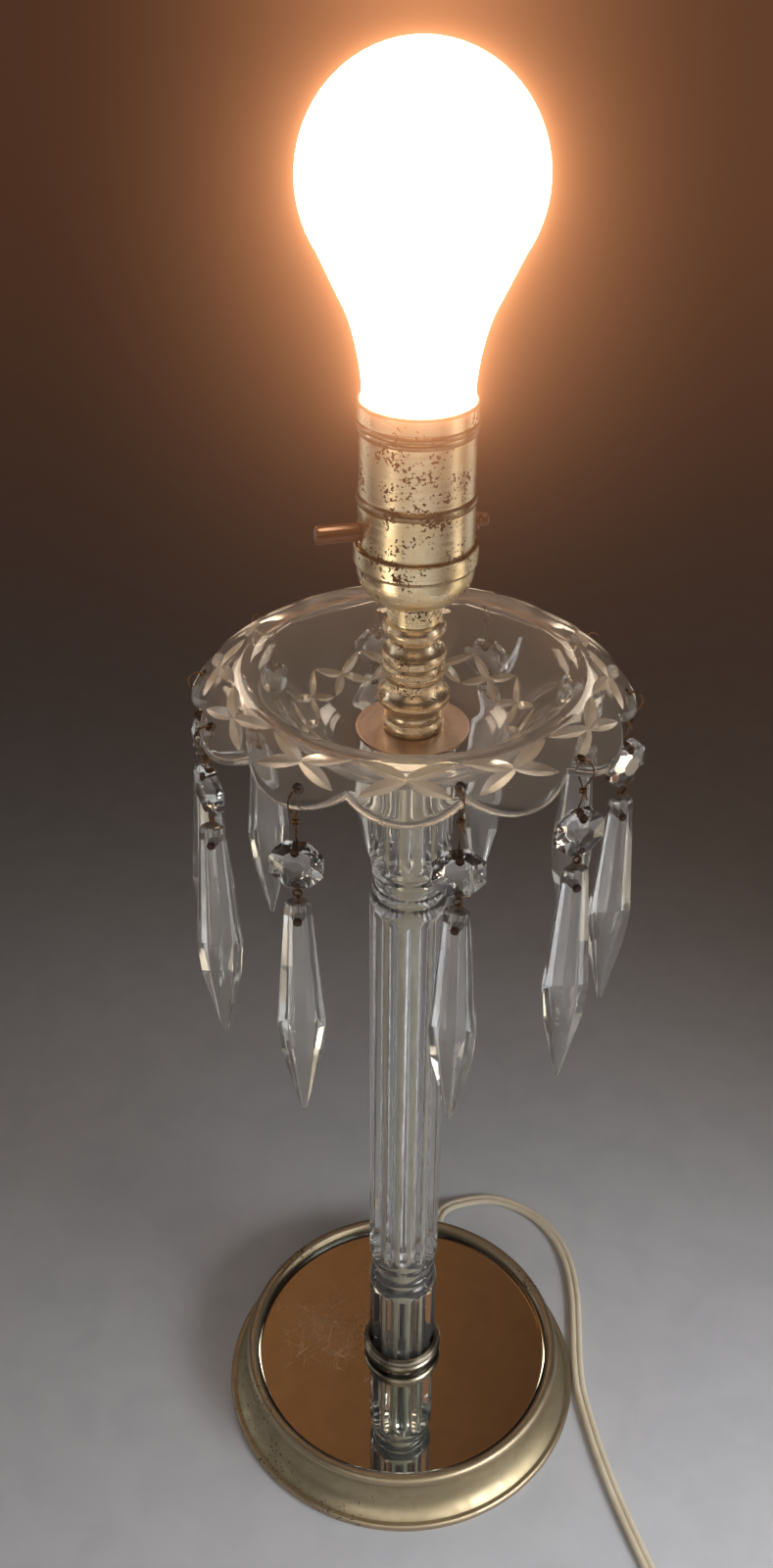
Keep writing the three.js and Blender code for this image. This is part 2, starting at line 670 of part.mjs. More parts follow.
function socketCap() {
  return new Outline(PIPE_BORE, CAP_FOOT)
    .line(CAP_NECK_RADIUS, CAP_FOOT)
    .line(CAP_NECK_RADIUS - 0.1, CAP_BOWL_FOOT - 1.6)
    .line(CAP_NECK_RADIUS + 0.9, CAP_BOWL_FOOT)
    .arc(CAP_BOWL_RADIUS, CAP_LEDGE, 2.6, 4)
    .line(CAP_SKIRT_RADIUS, SKIRT_FOOT)
    .line(CAP_SKIRT_RADIUS, CAP_TOP)
    .line(CAP_SKIRT_RADIUS - SOCKET_WALL, CAP_TOP)
    .line(CAP_SKIRT_RADIUS - SOCKET_WALL, SKIRT_FOOT)
    .line(CAP_BOWL_RADIUS - SOCKET_WALL, SKIRT_FOOT)
    .line(CAP_BOWL_RADIUS - SOCKET_WALL, CAP_LEDGE)
    .arc(CAP_NECK_RADIUS + 1.2, CAP_FLOOR, -2.6, 4)
    .line(PIPE_BORE, CAP_FLOOR)
    .turned(SOCKET_SIDES);
}

// The switch bar's axis runs across the socket, turned a little towards the front.
const switchAxis = new THREE.Vector3(Math.cos(degrees(SWITCH_ANGLE)), Math.sin(degrees(SWITCH_ANGLE)), 0);
const switchAt = (reach) => switchAxis.clone().multiplyScalar(reach).setZ(CAP_TOP + SWITCH_HEIGHT);

function socketShell() {
  const beadFoot = SHELL_TOP - SHELL_BEAD_DROP;
  const threadFoot = SHELL_TOP - SHELL_THREAD_DROP;
  const outline = new Outline(SHELL_RADIUS - SHELL_WALL, SHELL_FOOT)
    .line(SHELL_RADIUS, SHELL_FOOT)
    .line(SHELL_RADIUS, beadFoot - 1)
    .arc(SHELL_RADIUS - 0.3, beadFoot + 2, 0.7, 3)
    .line(SHELL_TOP_RADIUS, threadFoot)
    .arc(SHELL_TOP_RADIUS + 0.5, threadFoot + 2, 0.4, 2)
    .arc(SHELL_TOP_RADIUS + 0.7, threadFoot + 4, 0.4, 2)
    .line(SHELL_TOP_RADIUS + 0.4, SHELL_TOP - 1)
    .arc(SHELL_TOP_RADIUS - SHELL_WALL + 0.3, SHELL_TOP - 0.2, 0.6, 2)
    .line(SHELL_TOP_RADIUS - SHELL_WALL, threadFoot + 4)
    .line(SHELL_TOP_RADIUS - SHELL_WALL, beadFoot + 2);
  const hole = rod(SWITCH_RADIUS + 2 * SEAT_GAP, switchAt(-SWITCH_LEFT), switchAt(SWITCH_LEFT), HOLE_SIDES);
  return cut(outline.turned(SOCKET_SIDES), hole);
}

const CORE_TOP_RADIUS = SHELL_TOP_RADIUS - SHELL_WALL - SEAT_GAP;
const CUP_FLOOR = CORE_FOOT + CUP_RISE;
const CUP_TOP = CUP_FLOOR + CUP_DEPTH;

function socketCore() {
  const cup = CORE_TOP_RADIUS - CORE_WALL;
  const outline = new Outline(0, CORE_FOOT)
    .line(CAP_NECK_RADIUS, CORE_FOOT)
    .line(12.2, CAP_LEDGE - 4.6)
    .line(CORE_TOP_RADIUS - 0.6, SKIRT_FOOT)
    .line(CORE_TOP_RADIUS, SKIRT_FOOT + 3)
    .line(CORE_TOP_RADIUS, CUP_TOP)
    .line(cup, CUP_TOP)
    .line(cup, CUP_FLOOR)
    .line(0, CUP_FLOOR);
  const bore = rod(SWITCH_RADIUS + SEAT_GAP, switchAt(-SWITCH_LEFT), switchAt(SWITCH_LEFT), HOLE_SIDES);
  return cut(outline.turned(SOCKET_SIDES), bore);
}

function switchBar() {
  const shoulder = SWITCH_RIGHT - SWITCH_TIP;
  const bar = rod(SWITCH_RADIUS, switchAt(-SWITCH_LEFT), switchAt(shoulder), HOLE_SIDES);
  const tip = rod(SWITCH_RADIUS - 0.6, switchAt(shoulder - 0.4), switchAt(SWITCH_RIGHT), HOLE_SIDES);
  return join(bar, tip);
}

add("socket_cap", socketCap(), SOCKET_BRASS);
add("socket_shell", socketShell(), SOCKET_BRASS);
add("socket_core", socketCore(), BLACK_CORE);
add("switch_bar", switchBar(), SWITCH_BROWN);

// Bulb

const BULB_FOOT = CUP_FLOOR + SEAT_GAP;
const BULB_SCREW_TOP = BULB_FOOT + BULB_BASE_LENGTH;
const BULB_CENTRE = BULB_SCREW_TOP + BULB_CENTRE_RISE;

function bulbBase() {
  const inside = BULB_BASE_RADIUS - BULB_WALL;
  return new Outline(0, BULB_FOOT)
    .line(3.5, BULB_FOOT)
    .line(4.6, BULB_FOOT + 1.2)
    .line(9.5, BULB_FOOT + 3)
    .line(BULB_BASE_RADIUS, BULB_FOOT + 5.4)
    .line(BULB_BASE_RADIUS, BULB_SCREW_TOP)
    .line(inside, BULB_SCREW_TOP)
    .line(inside, BULB_FOOT + 6)
    .line(0, BULB_FOOT + 6)
    .turned(SOCKET_SIDES);
}

function bulbGlass() {
  const foot = BULB_SCREW_TOP + SEAT_GAP;
  // The neck's curve runs into the ball at this turn below the ball's widest ring.
  const leaves = degrees(-32);
  const onBall = (turn) =>
    new THREE.Vector2(BULB_RADIUS * Math.cos(turn), BULB_CENTRE + BULB_RADIUS * Math.sin(turn));
  const shoulder = new THREE.Vector2(BULB_NECK_RADIUS, foot + 3);
  const reach = onBall(leaves).sub(shoulder);
  // Shares of the way out and of the way up, from the neck's shoulder to the ball
  const swell = (out, up) => shoulder.clone().add(new THREE.Vector2(out * reach.x, up * reach.y));
  const curve = new THREE.SplineCurve([
    new THREE.Vector2(BULB_BASE_RADIUS - 0.4, foot),
    new THREE.Vector2(BULB_NECK_RADIUS - 0.7, foot + 0.8),
    shoulder,
    swell(0.026, 0.152),
    swell(0.12, 0.343),
    swell(0.326, 0.571),
    swell(0.661, 0.787),
    onBall(leaves),
  ]);
  const outer = curve.getPoints(9);
  const crownSteps = 8;
  for (let k = 1; k <= crownSteps; k += 1) {
    outer.push(onBall(leaves + ((Math.PI / 2 - leaves) * k) / crownSteps));
  }
  outer.at(-1).x = 0;
  // The inside follows the outside with fewer points, one wall in.
  const inner = outer
    .filter((_, k) => k % 3 !== 1)
    .map((p) => new THREE.Vector2(Math.max(p.x - BULB_WALL, 0), p.y))
    .reverse();
  inner[0].set(0, BULB_CENTRE + BULB_RADIUS - BULB_WALL);
  return new THREE.LatheGeometry([...inner, ...outer], SOCKET_SIDES).rotateX(Math.PI / 2);
}

add("bulb_base", bulbBase(), BULB_SCREW);
add("bulb_glass", bulbGlass(), BULB_GLASS);

// Pendants, each drawn in its own plane: x outwards, z up, origin at the hook's ring centre

// Points of a bend from its right side over to its left, by the ring's or arch's two half sizes.
function bend(height, halfWidth, rise, fromTurn, steps) {
  return Array.from({ length: steps + 1 }, (_, k) => {
    const turn = degrees(THREE.MathUtils.lerp(fromTurn, 180 - fromTurn, k / steps));
    return new THREE.Vector3(halfWidth * Math.cos(turn), 0, height + rise * Math.sin(turn));
  });
}

const UPRIGHT = new THREE.Vector3(0, 0, 1);
const turnedBy = (points, twist) => points.map((p) => p.clone().applyAxisAngle(UPRIGHT, degrees(twist)));

// A wire bent to a figure of eight: over the top bend, through its crossing and under the low bend,
// which is twisted about the upright. The strands pass on the side that the twist opens.
function wireEight(topBend, crossing, lowBend, twist) {
  const beside = ((WIRE + SEAT_GAP) / 2) * (twist > 0 ? -1 : 1);
  const points = [
    new THREE.Vector3(0.5, beside, crossing + 0.6),
    ...topBend,
    new THREE.Vector3(0, -beside, crossing),
    ...turnedBy(lowBend, twist),
    new THREE.Vector3(-0.5, beside, crossing - 0.6),
  ];
  return swept(roundSection(WIRE / 2, WIRE_SIDES), points);
}

// Half the bead's thickness at its holes, and half the prism's at its own.
const beadHalfAtHole =
  BEAD_THICKNESS / 2 - ((BEAD_THICKNESS - BEAD_EDGE) / 2) * (BEAD_HOLE_OFFSET / (BEAD_ACROSS / 2));
const prismHalfAtHole =
  THREE.MathUtils.lerp(PRISM_TOP_THICKNESS, PRISM_THICKNESS, PRISM_HOLE_INSET / PRISM_SHOULDER) / 2;
const beadLeg = beadHalfAtHole + SEAT_GAP + WIRE / 2 + 0.15;
const prismLeg = prismHalfAtHole + SEAT_GAP + WIRE / 2 + 0.35;
const ARCH_RISE = 1;

const archOver = (hole, leg) => bend(hole - ARCH_RISE + 0.2, leg, ARCH_RISE, 0, 3);
const archUnder = (hole, leg) => bend(hole + ARCH_RISE - 0.2, leg, -ARCH_RISE, 0, 3);

// A bend with a shoulder on both its legs, where they pass the edge that they go round.
const shouldered = (points, halfThickness, height) => {
  const reach = halfThickness + WIRE / 2 + BORE_GAP;
  return [new THREE.Vector3(reach, 0, height), ...points, new THREE.Vector3(-reach, 0, height)];
};

// A pendant's own heights, below its hook's ring
function heightsOf({ drop }) {
  const topHole = -drop + BEAD_HOLE_OFFSET;
  const lowHole = -drop - BEAD_HOLE_OFFSET;
  const prismHole = lowHole - PRISM_HOLE_DROP;
  return {
    middle: -drop,
    topHole,
    lowHole,
    prismHole,
    beadTop: -drop + BEAD_ACROSS / 2,
    beadFoot: -drop - BEAD_ACROSS / 2,
    prismTop: prismHole + PRISM_HOLE_INSET,
  };
}

function hook({ topHole, beadTop }, twist) {
  const ring = bend(0, HOOK_RADIUS, HOOK_RADIUS, -27, 8);
  const under = shouldered(archUnder(topHole, beadLeg), BEAD_EDGE / 2, beadTop);
  return wireEight(ring, -HOOK_CROSSING, under, twist);
}

function link({ lowHole, beadFoot, prismHole, prismTop }, twist) {
  const over = shouldered(archOver(lowHole, beadLeg), BEAD_EDGE / 2, beadFoot);
  const under = shouldered(archUnder(prismHole, prismLeg), PRISM_TOP_THICKNESS / 2, prismTop);
  return wireEight(over, (beadFoot + prismTop) / 2, under, twist);
}

// A hole drilled through a bead or prism, from front to back.
const pendantHole = (radius, height) =>
  rod(radius, new THREE.Vector3(-12, 0, height), new THREE.Vector3(12, 0, height), PENDANT_HOLE_SIDES);

function bead({ middle, topHole, lowHole }) {
  const corners = BEAD_ACROSS / 2 / Math.cos(Math.PI / 8);
  const points = [];
  for (const front of [-1, 1]) {
    points.push(new THREE.Vector3((front * BEAD_THICKNESS) / 2, 0, middle));
    for (let k = 0; k < 8; k += 1) {
      const turn = (Math.PI * (k + 0.5)) / 4;
      const height = middle + corners * Math.sin(turn);
      points.push(new THREE.Vector3((front * BEAD_EDGE) / 2, corners * Math.cos(turn), height));
    }
  }
  const holes = [topHole, lowHole].map((height) => pendantHole(BEAD_HOLE_RADIUS, height));
  return cut(new ConvexGeometry(points), ...holes);
}

function prism({ prismHole, prismTop }) {
  // Each station: drop below the top, width, thickness and the width of its flat front panel.
  const stations = [
    [0, PRISM_TOP_WIDTH - 2.4, PRISM_TOP_THICKNESS - 1, 2],
    [2, PRISM_TOP_WIDTH, PRISM_TOP_THICKNESS, 2.6],
    [PRISM_SHOULDER, PRISM_WIDTH, PRISM_THICKNESS, PRISM_PANEL],
    [PRISM_LENGTH, 1.6, 1.4, 0.6],
  ];
  const points = stations.flatMap(([drop, width, thickness, panel]) =>
    [-1, 1].flatMap((side) => [
      new THREE.Vector3(thickness * 0.14, (side * width) / 2, prismTop - drop),
      new THREE.Vector3(-thickness * 0.14, (side * width) / 2, prismTop - drop),
      new THREE.Vector3(thickness / 2, (side * panel) / 2, prismTop - drop),
      new THREE.Vector3(-thickness / 2, (side * panel) / 2, prismTop - drop),
    ]),
  );
  return cut(new ConvexGeometry(points), pendantHole(PRISM_HOLE_RADIUS, prismHole));
}

PENDANTS.forEach((pendant, k) => {
  const number = String(k + 1).padStart(2, "0");
  const { centre } = hookSeat(pendant.angle);
  const heights = heightsOf(pendant);
  const beadTwist = pendant.beadFaces - pendant.angle;
  const prismTwist = pendant.prismFaces - pendant.beadFaces;
  const turned = (geometry, twist) => geometry.rotateZ(degrees(twist));
  const hung = new THREE.Group();
  hung.position.copy(inPlane(pendant.angle, centre));
  hung.rotation.z = degrees(pendant.angle - 90);
  lamp.add(hung);
  add(`hook_${number}`, hook(heights, beadTwist), WIRE_BRASS, hung);
  add(`bead_${number}`, turned(bead(heights), beadTwist), CRYSTAL, hung);
  add(`link_${number}`, turned(link(heights, prismTwist), beadTwist), WIRE_BRASS, hung);
  add(`prism_${number}`, turned(prism(heights), beadTwist + prismTwist), CRYSTAL, hung);
});

// Cord

function cordBushing() {
  const bore = CORD_WIDTH / 2 + 0.1;
  const flange = COVE_FOOT_RADIUS + SEAT_GAP - (EXIT_RADIUS - BUSHING_LENGTH);
  const outline = new Outline(bore, 0)
    .line(BUSHING_RADIUS, 0)
    .line(BUSHING_RADIUS, flange)
    .line(BUSHING_RADIUS + 0.9, flange)
    .line(BUSHING_RADIUS, BUSHING_LENGTH)
    .line(bore, BUSHING_LENGTH);
  const turn = new THREE.Quaternion().setFromUnitVectors(new THREE.Vector3(0, 0, 1), exit);
  const place = alongExit(EXIT_RADIUS - BUSHING_LENGTH, EXIT_HEIGHT);
  return outline.turned(HOLE_SIDES).applyQuaternion(turn).translate(place.x, place.y, place.z);
}

// The coil starts where a turn of it runs on from the free stretch, and winds clockwise.
const COIL_PITCH = CORD_WIDTH + COIL_TURN_GAP;
const COIL_RISE = CORD_THICKNESS + COIL_LAYER_GAP;
const COIL_SPREAD = (COIL_TURNS / COIL_LAYERS / 2) * COIL_PITCH;
const coilHeading = outwards(COIL_START_TURN);

function coilPoint(radius, turn, height) {
  const [x, y] = COIL_CENTRE;
  return new THREE.Vector3(x + radius * Math.cos(turn), y + radius * Math.sin(turn), height);
}

// The free stretch's route over the table, chosen by hand from the bushing to the coil.
function freeRoute(coilStart) {
  const onTable = CORD_THICKNESS / 2;
  const falling = [
    [15.9, 74.4, 7.6],
    [17.6, 78.8, 6.3],
    [20.8, 83.2, 4.2],
    [25.6, 86.9, 2.4],
    [31.8, 89.4, 1.5],
  ];
  const lying = [
    [39.7, 90.4],
    [51.3, 86.9],
    [61.3, 79.6],
    [69, 68.4],
    [73.2, 55.1],
    [74.7, 38],
    [74.2, 22.5],
    [73.4, 7],
    [73.6, -7.8],
    [75.4, -19.5],
    [78.5, -35.2],
    [82.6, -50.8],
    [87.3, -66],
    [93.3, -83],
    [99.5, -98.6],
  ];
  return [
    alongExit(EXIT_RADIUS + SEAT_GAP, EXIT_HEIGHT),
    ...falling.map(([x, y, z]) => new THREE.Vector3(x, y, z)),
    ...lying.map(([x, y]) => new THREE.Vector3(x, y, onTable)),
    coilStart.clone().addScaledVector(coilHeading, -CORD_WIDTH - SEAT_GAP),
  ];
}

// The coil takes the length that the free stretch leaves, so its mean radius follows.
function coilRadius() {
  let radius = 30;
  for (let round = 0; round < 4; round += 1) {
    const start = coilPoint(radius + COIL_SPREAD, degrees(COIL_START_TURN), 0);
    const free = new THREE.CatmullRomCurve3(freeRoute(start)).getLength();
    radius = (CORD_LENGTH - free - CORD_WIDTH - COIL_LEAD_OUT) / (2 * Math.PI * COIL_TURNS);
  }
  return radius;
}

const COIL_OUTER_RADIUS = coilRadius() + COIL_SPREAD;
const COIL_TOP = CORD_THICKNESS / 2 + COIL_RISE * (COIL_LAYERS - 1);
const coilStart = coilPoint(COIL_OUTER_RADIUS, degrees(COIL_START_TURN), CORD_THICKNESS / 2);
const coilEnd = coilStart.clone().setZ(COIL_TOP);

// Two layers: the turns spiral in, climb in the half turn where they reverse, and spiral out.
function coilRoute() {
  const stepsPerTurn = 24;
  const points = [coilStart.clone().addScaledVector(coilHeading, -CORD_WIDTH)];
  for (let k = 0; k <= COIL_TURNS * stepsPerTurn; k += 1) {
    const turns = k / stepsPerTurn;
    const radius = COIL_OUTER_RADIUS - COIL_PITCH * Math.min(turns, COIL_TURNS - turns);
    const climb = THREE.MathUtils.smoothstep(turns, COIL_TURNS / 2 - 0.25, COIL_TURNS / 2 + 0.25);
    const turn = degrees(COIL_START_TURN - 360 * turns);
    points.push(coilPoint(radius, turn, CORD_THICKNESS / 2 + COIL_RISE * climb));
  }
  for (const reach of [COIL_LEAD_OUT / 2, COIL_LEAD_OUT]) {
    points.push(coilEnd.clone().addScaledVector(coilHeading, reach));
  }
  return points;
}

// Least gap between the coil's turns, on points round the lead's section at each step.
function leastGap(route) {
  const stepsApart = 12;
  const flats = [new THREE.Vector2(CORD_THICKNESS / 2, 0), new THREE.Vector2(-CORD_THICKNESS / 2, 0)];
  const section = [...flatCorners(CORD_WIDTH, CORD_THICKNESS), ...flats];
  const rings = route.map((point, k) => {
    const ahead = route[Math.min(k + 1, route.length - 1)];
    const behind = route[Math.max(k - 1, 0)];
    const side = new THREE.Vector3(ahead.y - behind.y, behind.x - ahead.x, 0).normalize();
    return section.map(({ x, y }) => point.clone().addScaledVector(side, y).setZ(point.z + x));
  });
  let least = Infinity;
  rings.forEach((ring, k) => {
    for (const other of rings.slice(k + stepsApart)) {
      for (const a of ring) {
        for (const b of other) least = Math.min(least, a.distanceTo(b));
      }
    }
  });
  return least;
}

function powerCord() {
  const curve = new THREE.CatmullRomCurve3(freeRoute(coilStart));
  return swept(new THREE.Shape(flatCorners(CORD_WIDTH, CORD_THICKNESS)), curve.getSpacedPoints(44));
}

function cordCoil() {
  const route = coilRoute();
  console.log(`The coil's least gap to itself is ${leastGap(route).toFixed(2)} mm`);
  return swept(new THREE.Shape(flatCorners(CORD_WIDTH, CORD_THICKNESS)), route);
}

function cordPlug() {
  const outline = new THREE.Shape();
  const half = PLUG_WIDTH / 2;
  outline.moveTo(0, -PLUG_ENTRY_WIDTH / 2);
  outline.quadraticCurveTo(PLUG_LENGTH * 0.25, -half, PLUG_LENGTH * 0.5, -half);
  outline.lineTo(PLUG_LENGTH, -half);
  outline.lineTo(PLUG_LENGTH, half);
  outline.lineTo(PLUG_LENGTH * 0.5, half);
  outline.quadraticCurveTo(PLUG_LENGTH * 0.25, half, 0, PLUG_ENTRY_WIDTH / 2);
  const settings = { depth: PLUG_HEIGHT, bevelEnabled: false, curveSegments: 4 };
  const body = new THREE.ExtrudeGeometry(outline, settings);
  const blades = [-1, 1].map((side) =>
    new THREE.BoxGeometry(BLADE_LENGTH + 2, BLADE_THICKNESS, BLADE_WIDTH).translate(
      PLUG_LENGTH + BLADE_LENGTH / 2 - 1,
      (side * BLADE_SPACING) / 2,
      PLUG_HEIGHT / 2,
    ),
  );
  const turn = degrees(COIL_START_TURN - 90);
  const place = coilEnd.clone().addScaledVector(coilHeading, COIL_LEAD_OUT + SEAT_GAP);
  return join(body, ...blades).rotateZ(turn).translate(place.x, place.y, 0);
}

add("cord_bushing", cordBushing(), PLUG_IVORY);
add("power_cord", powerCord(), CORD_IVORY);
add("cord_coil", cordCoil(), CORD_IVORY);
add("cord_plug", cordPlug(), PLUG_IVORY);

export default lamp;
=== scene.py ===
# %% [markdown]
# # Boudoir table lamp
# A pressed-glass column stands on a mirrored metal base and carries a cut-glass drip dish, hung with ten
# crystal pendants. A turned neck lifts a push-through socket and its lit bulb over the dish.
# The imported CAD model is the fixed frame, so each piece here is made where its CAD solid stands.
# Sizes are written in millimetres, as a maker would write them, and turn into metres where a mesh is made.

# %% Load the frame
import json
import math

import bmesh
import bpy
import numpy as np
from mathutils import Matrix, Vector


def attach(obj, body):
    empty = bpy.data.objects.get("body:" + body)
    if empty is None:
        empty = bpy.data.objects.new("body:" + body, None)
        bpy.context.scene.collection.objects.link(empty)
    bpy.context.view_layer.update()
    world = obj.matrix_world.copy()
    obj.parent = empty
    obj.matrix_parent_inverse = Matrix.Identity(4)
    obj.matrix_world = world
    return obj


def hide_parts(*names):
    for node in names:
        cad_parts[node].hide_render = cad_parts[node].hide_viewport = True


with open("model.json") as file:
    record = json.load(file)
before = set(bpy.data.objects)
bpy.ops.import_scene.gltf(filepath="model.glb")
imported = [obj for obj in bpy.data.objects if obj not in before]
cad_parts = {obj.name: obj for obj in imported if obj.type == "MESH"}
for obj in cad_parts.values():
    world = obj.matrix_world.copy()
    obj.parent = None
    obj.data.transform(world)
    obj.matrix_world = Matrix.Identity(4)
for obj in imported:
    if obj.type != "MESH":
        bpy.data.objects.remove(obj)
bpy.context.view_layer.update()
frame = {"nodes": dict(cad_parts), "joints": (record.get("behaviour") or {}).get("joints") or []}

MM = 0.001
joints = {joint["name"]: joint for joint in frame["joints"]}
print("CAD nodes:", len(frame["nodes"]), "joints:", len(joints))

# %% [markdown]
# ## Camera
# The photograph looks down at the lamp from a little above its bulb, so its upright lines run together
# towards the foot. A camera could be placed by eye. This one was fitted to the ellipses of the base, the
# mirror, the dish and the socket, because their shapes fix the distance and the pitch very well.

# %% Camera
PHOTO_HEIGHT = 1600
FOCAL_PIXELS = 1571.18
CAMERA_PLACE = Vector((0, -392.6, 561.9)) * MM
PITCH, YAW, ROLL = math.radians(34.233), math.radians(-1.133), math.radians(-0.391)
SENSOR_HEIGHT = 36


def add_object(name, data):
    """A new object at the origin, in the scene."""
    made = bpy.data.objects.new(name, data)
    bpy.context.scene.collection.objects.link(made)
    return made


ahead = Vector((math.sin(YAW) * math.cos(PITCH), math.cos(YAW) * math.cos(PITCH), -math.sin(PITCH)))
level = Vector((math.cos(YAW), -math.sin(YAW), 0))
down = ahead.cross(level)
right = math.cos(ROLL) * level + math.sin(ROLL) * down
below = -math.sin(ROLL) * level + math.cos(ROLL) * down

camera_data = bpy.data.cameras.new("photo_camera")
camera_data.sensor_fit = "VERTICAL"
camera_data.sensor_height = SENSOR_HEIGHT
camera_data.lens = SENSOR_HEIGHT * FOCAL_PIXELS / PHOTO_HEIGHT
camera_data.clip_start = 10 * MM
camera = add_object("photo_camera", camera_data)
facing = Matrix((right, -below, -ahead)).transposed().to_4x4()
camera.matrix_world = Matrix.Translation(CAMERA_PLACE) @ facing
bpy.context.scene.camera = camera
print("lens", round(camera_data.lens, 2), "mm")

# %% [markdown]
# ## Node helpers
# Every material and every Geometry Nodes tree is made in this script. A few small helpers keep that short.
# The first adds a node and fills its sockets, by a value or by a link. The second starts a group with named
# sockets, whose types are written without the word that they all begin with.

# %% Node helpers
def add_node(tree, kind, sockets=None, **settings):
    """Adds a node, sets its properties, and fills its sockets with values or links."""
    made = tree.nodes.new(kind)
    for name, value in settings.items():
        setattr(made, name, value)
    for key, value in (sockets or {}).items():
        if isinstance(value, bpy.types.NodeSocket):
            tree.links.new(value, made.inputs[key])
        else:
            made.inputs[key].default_value = value
    return made


def start_group(name, tree_kind, inputs, outputs):
    """Starts a node group with named sockets, and gives it with its input and output nodes."""
    group = bpy.data.node_groups.new(name, tree_kind)
    for label, kind, value in inputs:
        socket = group.interface.new_socket(label, in_out="INPUT", socket_type=f"NodeSocket{kind}")
        if value is not None:
            socket.default_value = value
    for label, kind in outputs:
        group.interface.new_socket(label, in_out="OUTPUT", socket_type=f"NodeSocket{kind}")
    return group, group.nodes.new("NodeGroupInput"), group.nodes.new("NodeGroupOutput")


def math_node(tree, operation, a, b=0.5):
    return add_node(tree, "ShaderNodeMath", {0: a, 1: b}, operation=operation).outputs[0]


def vector_node(tree, operation, sockets, output="Vector"):
    return add_node(tree, "ShaderNodeVectorMath", sockets, operation=operation).outputs[output]


def split_place(tree, place):
    """A place's three parts, and the same place laid flat at height 0."""
    parts = add_node(tree, "ShaderNodeSeparateXYZ", {0: place}).outputs
    flat = add_node(tree, "ShaderNodeCombineXYZ", {0: parts[0], 1: parts[1], 2: 0.0}).outputs[0]
    return parts, flat


def spread(tree, value, low, high, to_low=0.0, to_high=1.0):
    """Maps a value's range to another one, smoothly and without going past its ends."""
    ranges = {"Value": value, "From Min": low, "From Max": high, "To Min": to_low, "To Max": to_high}
    return add_node(tree, "ShaderNodeMapRange", ranges, interpolation_type="SMOOTHSTEP").outputs["Result"]


def mix_colours(tree, share, a, b):
    mixed = add_node(tree, "ShaderNodeMix", {0: share}, data_type="RGBA")
    for socket, colour in zip((mixed.inputs[6], mixed.inputs[7]), (a, b)):
        if isinstance(colour, bpy.types.NodeSocket):
            tree.links.new(colour, socket)
        else:
            socket.default_value = (*colour, 1)
    return mixed.outputs[2]

# %% [markdown]
# ## Effects that several finishes share
# Old plate and brass lose their lacquer in clusters of small dark specks. Spun and turned metal keeps fine
# rings round its axis. Edges that hands and cloths touch wear through, and hollows keep their tarnish. Glass
# and metal alike carry faint smears. Each effect is one shader group, so that each material places it with
# its own scale and amount, and the groups put out only masks and values.

# %% Tarnish specks
specks, source, result = start_group(
    "tarnish_specks",
    "ShaderNodeTree",
    [
        ("Speck Scale", "Float", 1500),
        ("Patch Scale", "Float", 60),
        ("Level", "Float", 0.66),
        ("Seed", "Float", 0),
    ],
    [("Mask", "Float")],
)
place = add_node(specks, "ShaderNodeTexCoord").outputs["Object"]
fine = {"Vector": place, "W": source.outputs["Seed"], "Scale": source.outputs["Speck Scale"], "Detail": 3}
wide = {"Vector": place, "W": source.outputs["Seed"], "Scale": source.outputs["Patch Scale"], "Detail": 2}
speck = add_node(specks, "ShaderNodeTexNoise", fine, noise_dimensions="4D").outputs["Fac"]
patch = add_node(specks, "ShaderNodeTexNoise", wide, noise_dimensions="4D").outputs["Fac"]
lifted = math_node(specks, "ADD", speck, math_node(specks, "SUBTRACT", patch, 0.5))
over = math_node(specks, "SUBTRACT", lifted, source.outputs["Level"])
specks.links.new(spread(specks, over, -0.012, 0.03), result.inputs["Mask"])

# %% Turned grain
grain, source, result = start_group(
    "turned_grain",
    "ShaderNodeTree",
    [("Ring Scale", "Float", 900), ("Break Scale", "Float", 25)],
    [("Value", "Float")],
)
parts, flat = split_place(grain, add_node(grain, "ShaderNodeTexCoord").outputs["Object"])
climb = math_node(grain, "ADD", vector_node(grain, "LENGTH", {0: flat}, "Value"), parts[2])
rings = math_node(grain, "MULTIPLY", climb, source.outputs["Ring Scale"])
broken = vector_node(grain, "SCALE", {0: flat, 3: source.outputs["Break Scale"]})
split = add_node(grain, "ShaderNodeSeparateXYZ", {0: broken}).outputs
seat = add_node(grain, "ShaderNodeCombineXYZ", {0: split[0], 1: split[1], 2: rings}).outputs[0]
value = add_node(grain, "ShaderNodeTexNoise", {"Vector": seat, "Scale": 1.0, "Detail": 4.0}).outputs["Fac"]
grain.links.new(value, result.inputs["Value"])

# %% Smears
smears, source, result = start_group(
    "smears",
    "ShaderNodeTree",
    [("Scale", "Float", 90), ("Stretch", "Float", 1.2)],
    [("Value", "Float")],
)
place = add_node(smears, "ShaderNodeTexCoord").outputs["Object"]
sockets = {"Vector": place, "Scale": source.outputs["Scale"], "Detail": 5}
sockets["Distortion"] = source.outputs["Stretch"]
value = add_node(smears, "ShaderNodeTexNoise", sockets).outputs["Fac"]
smears.links.new(spread(smears, value, 0.35, 0.7), result.inputs["Value"])

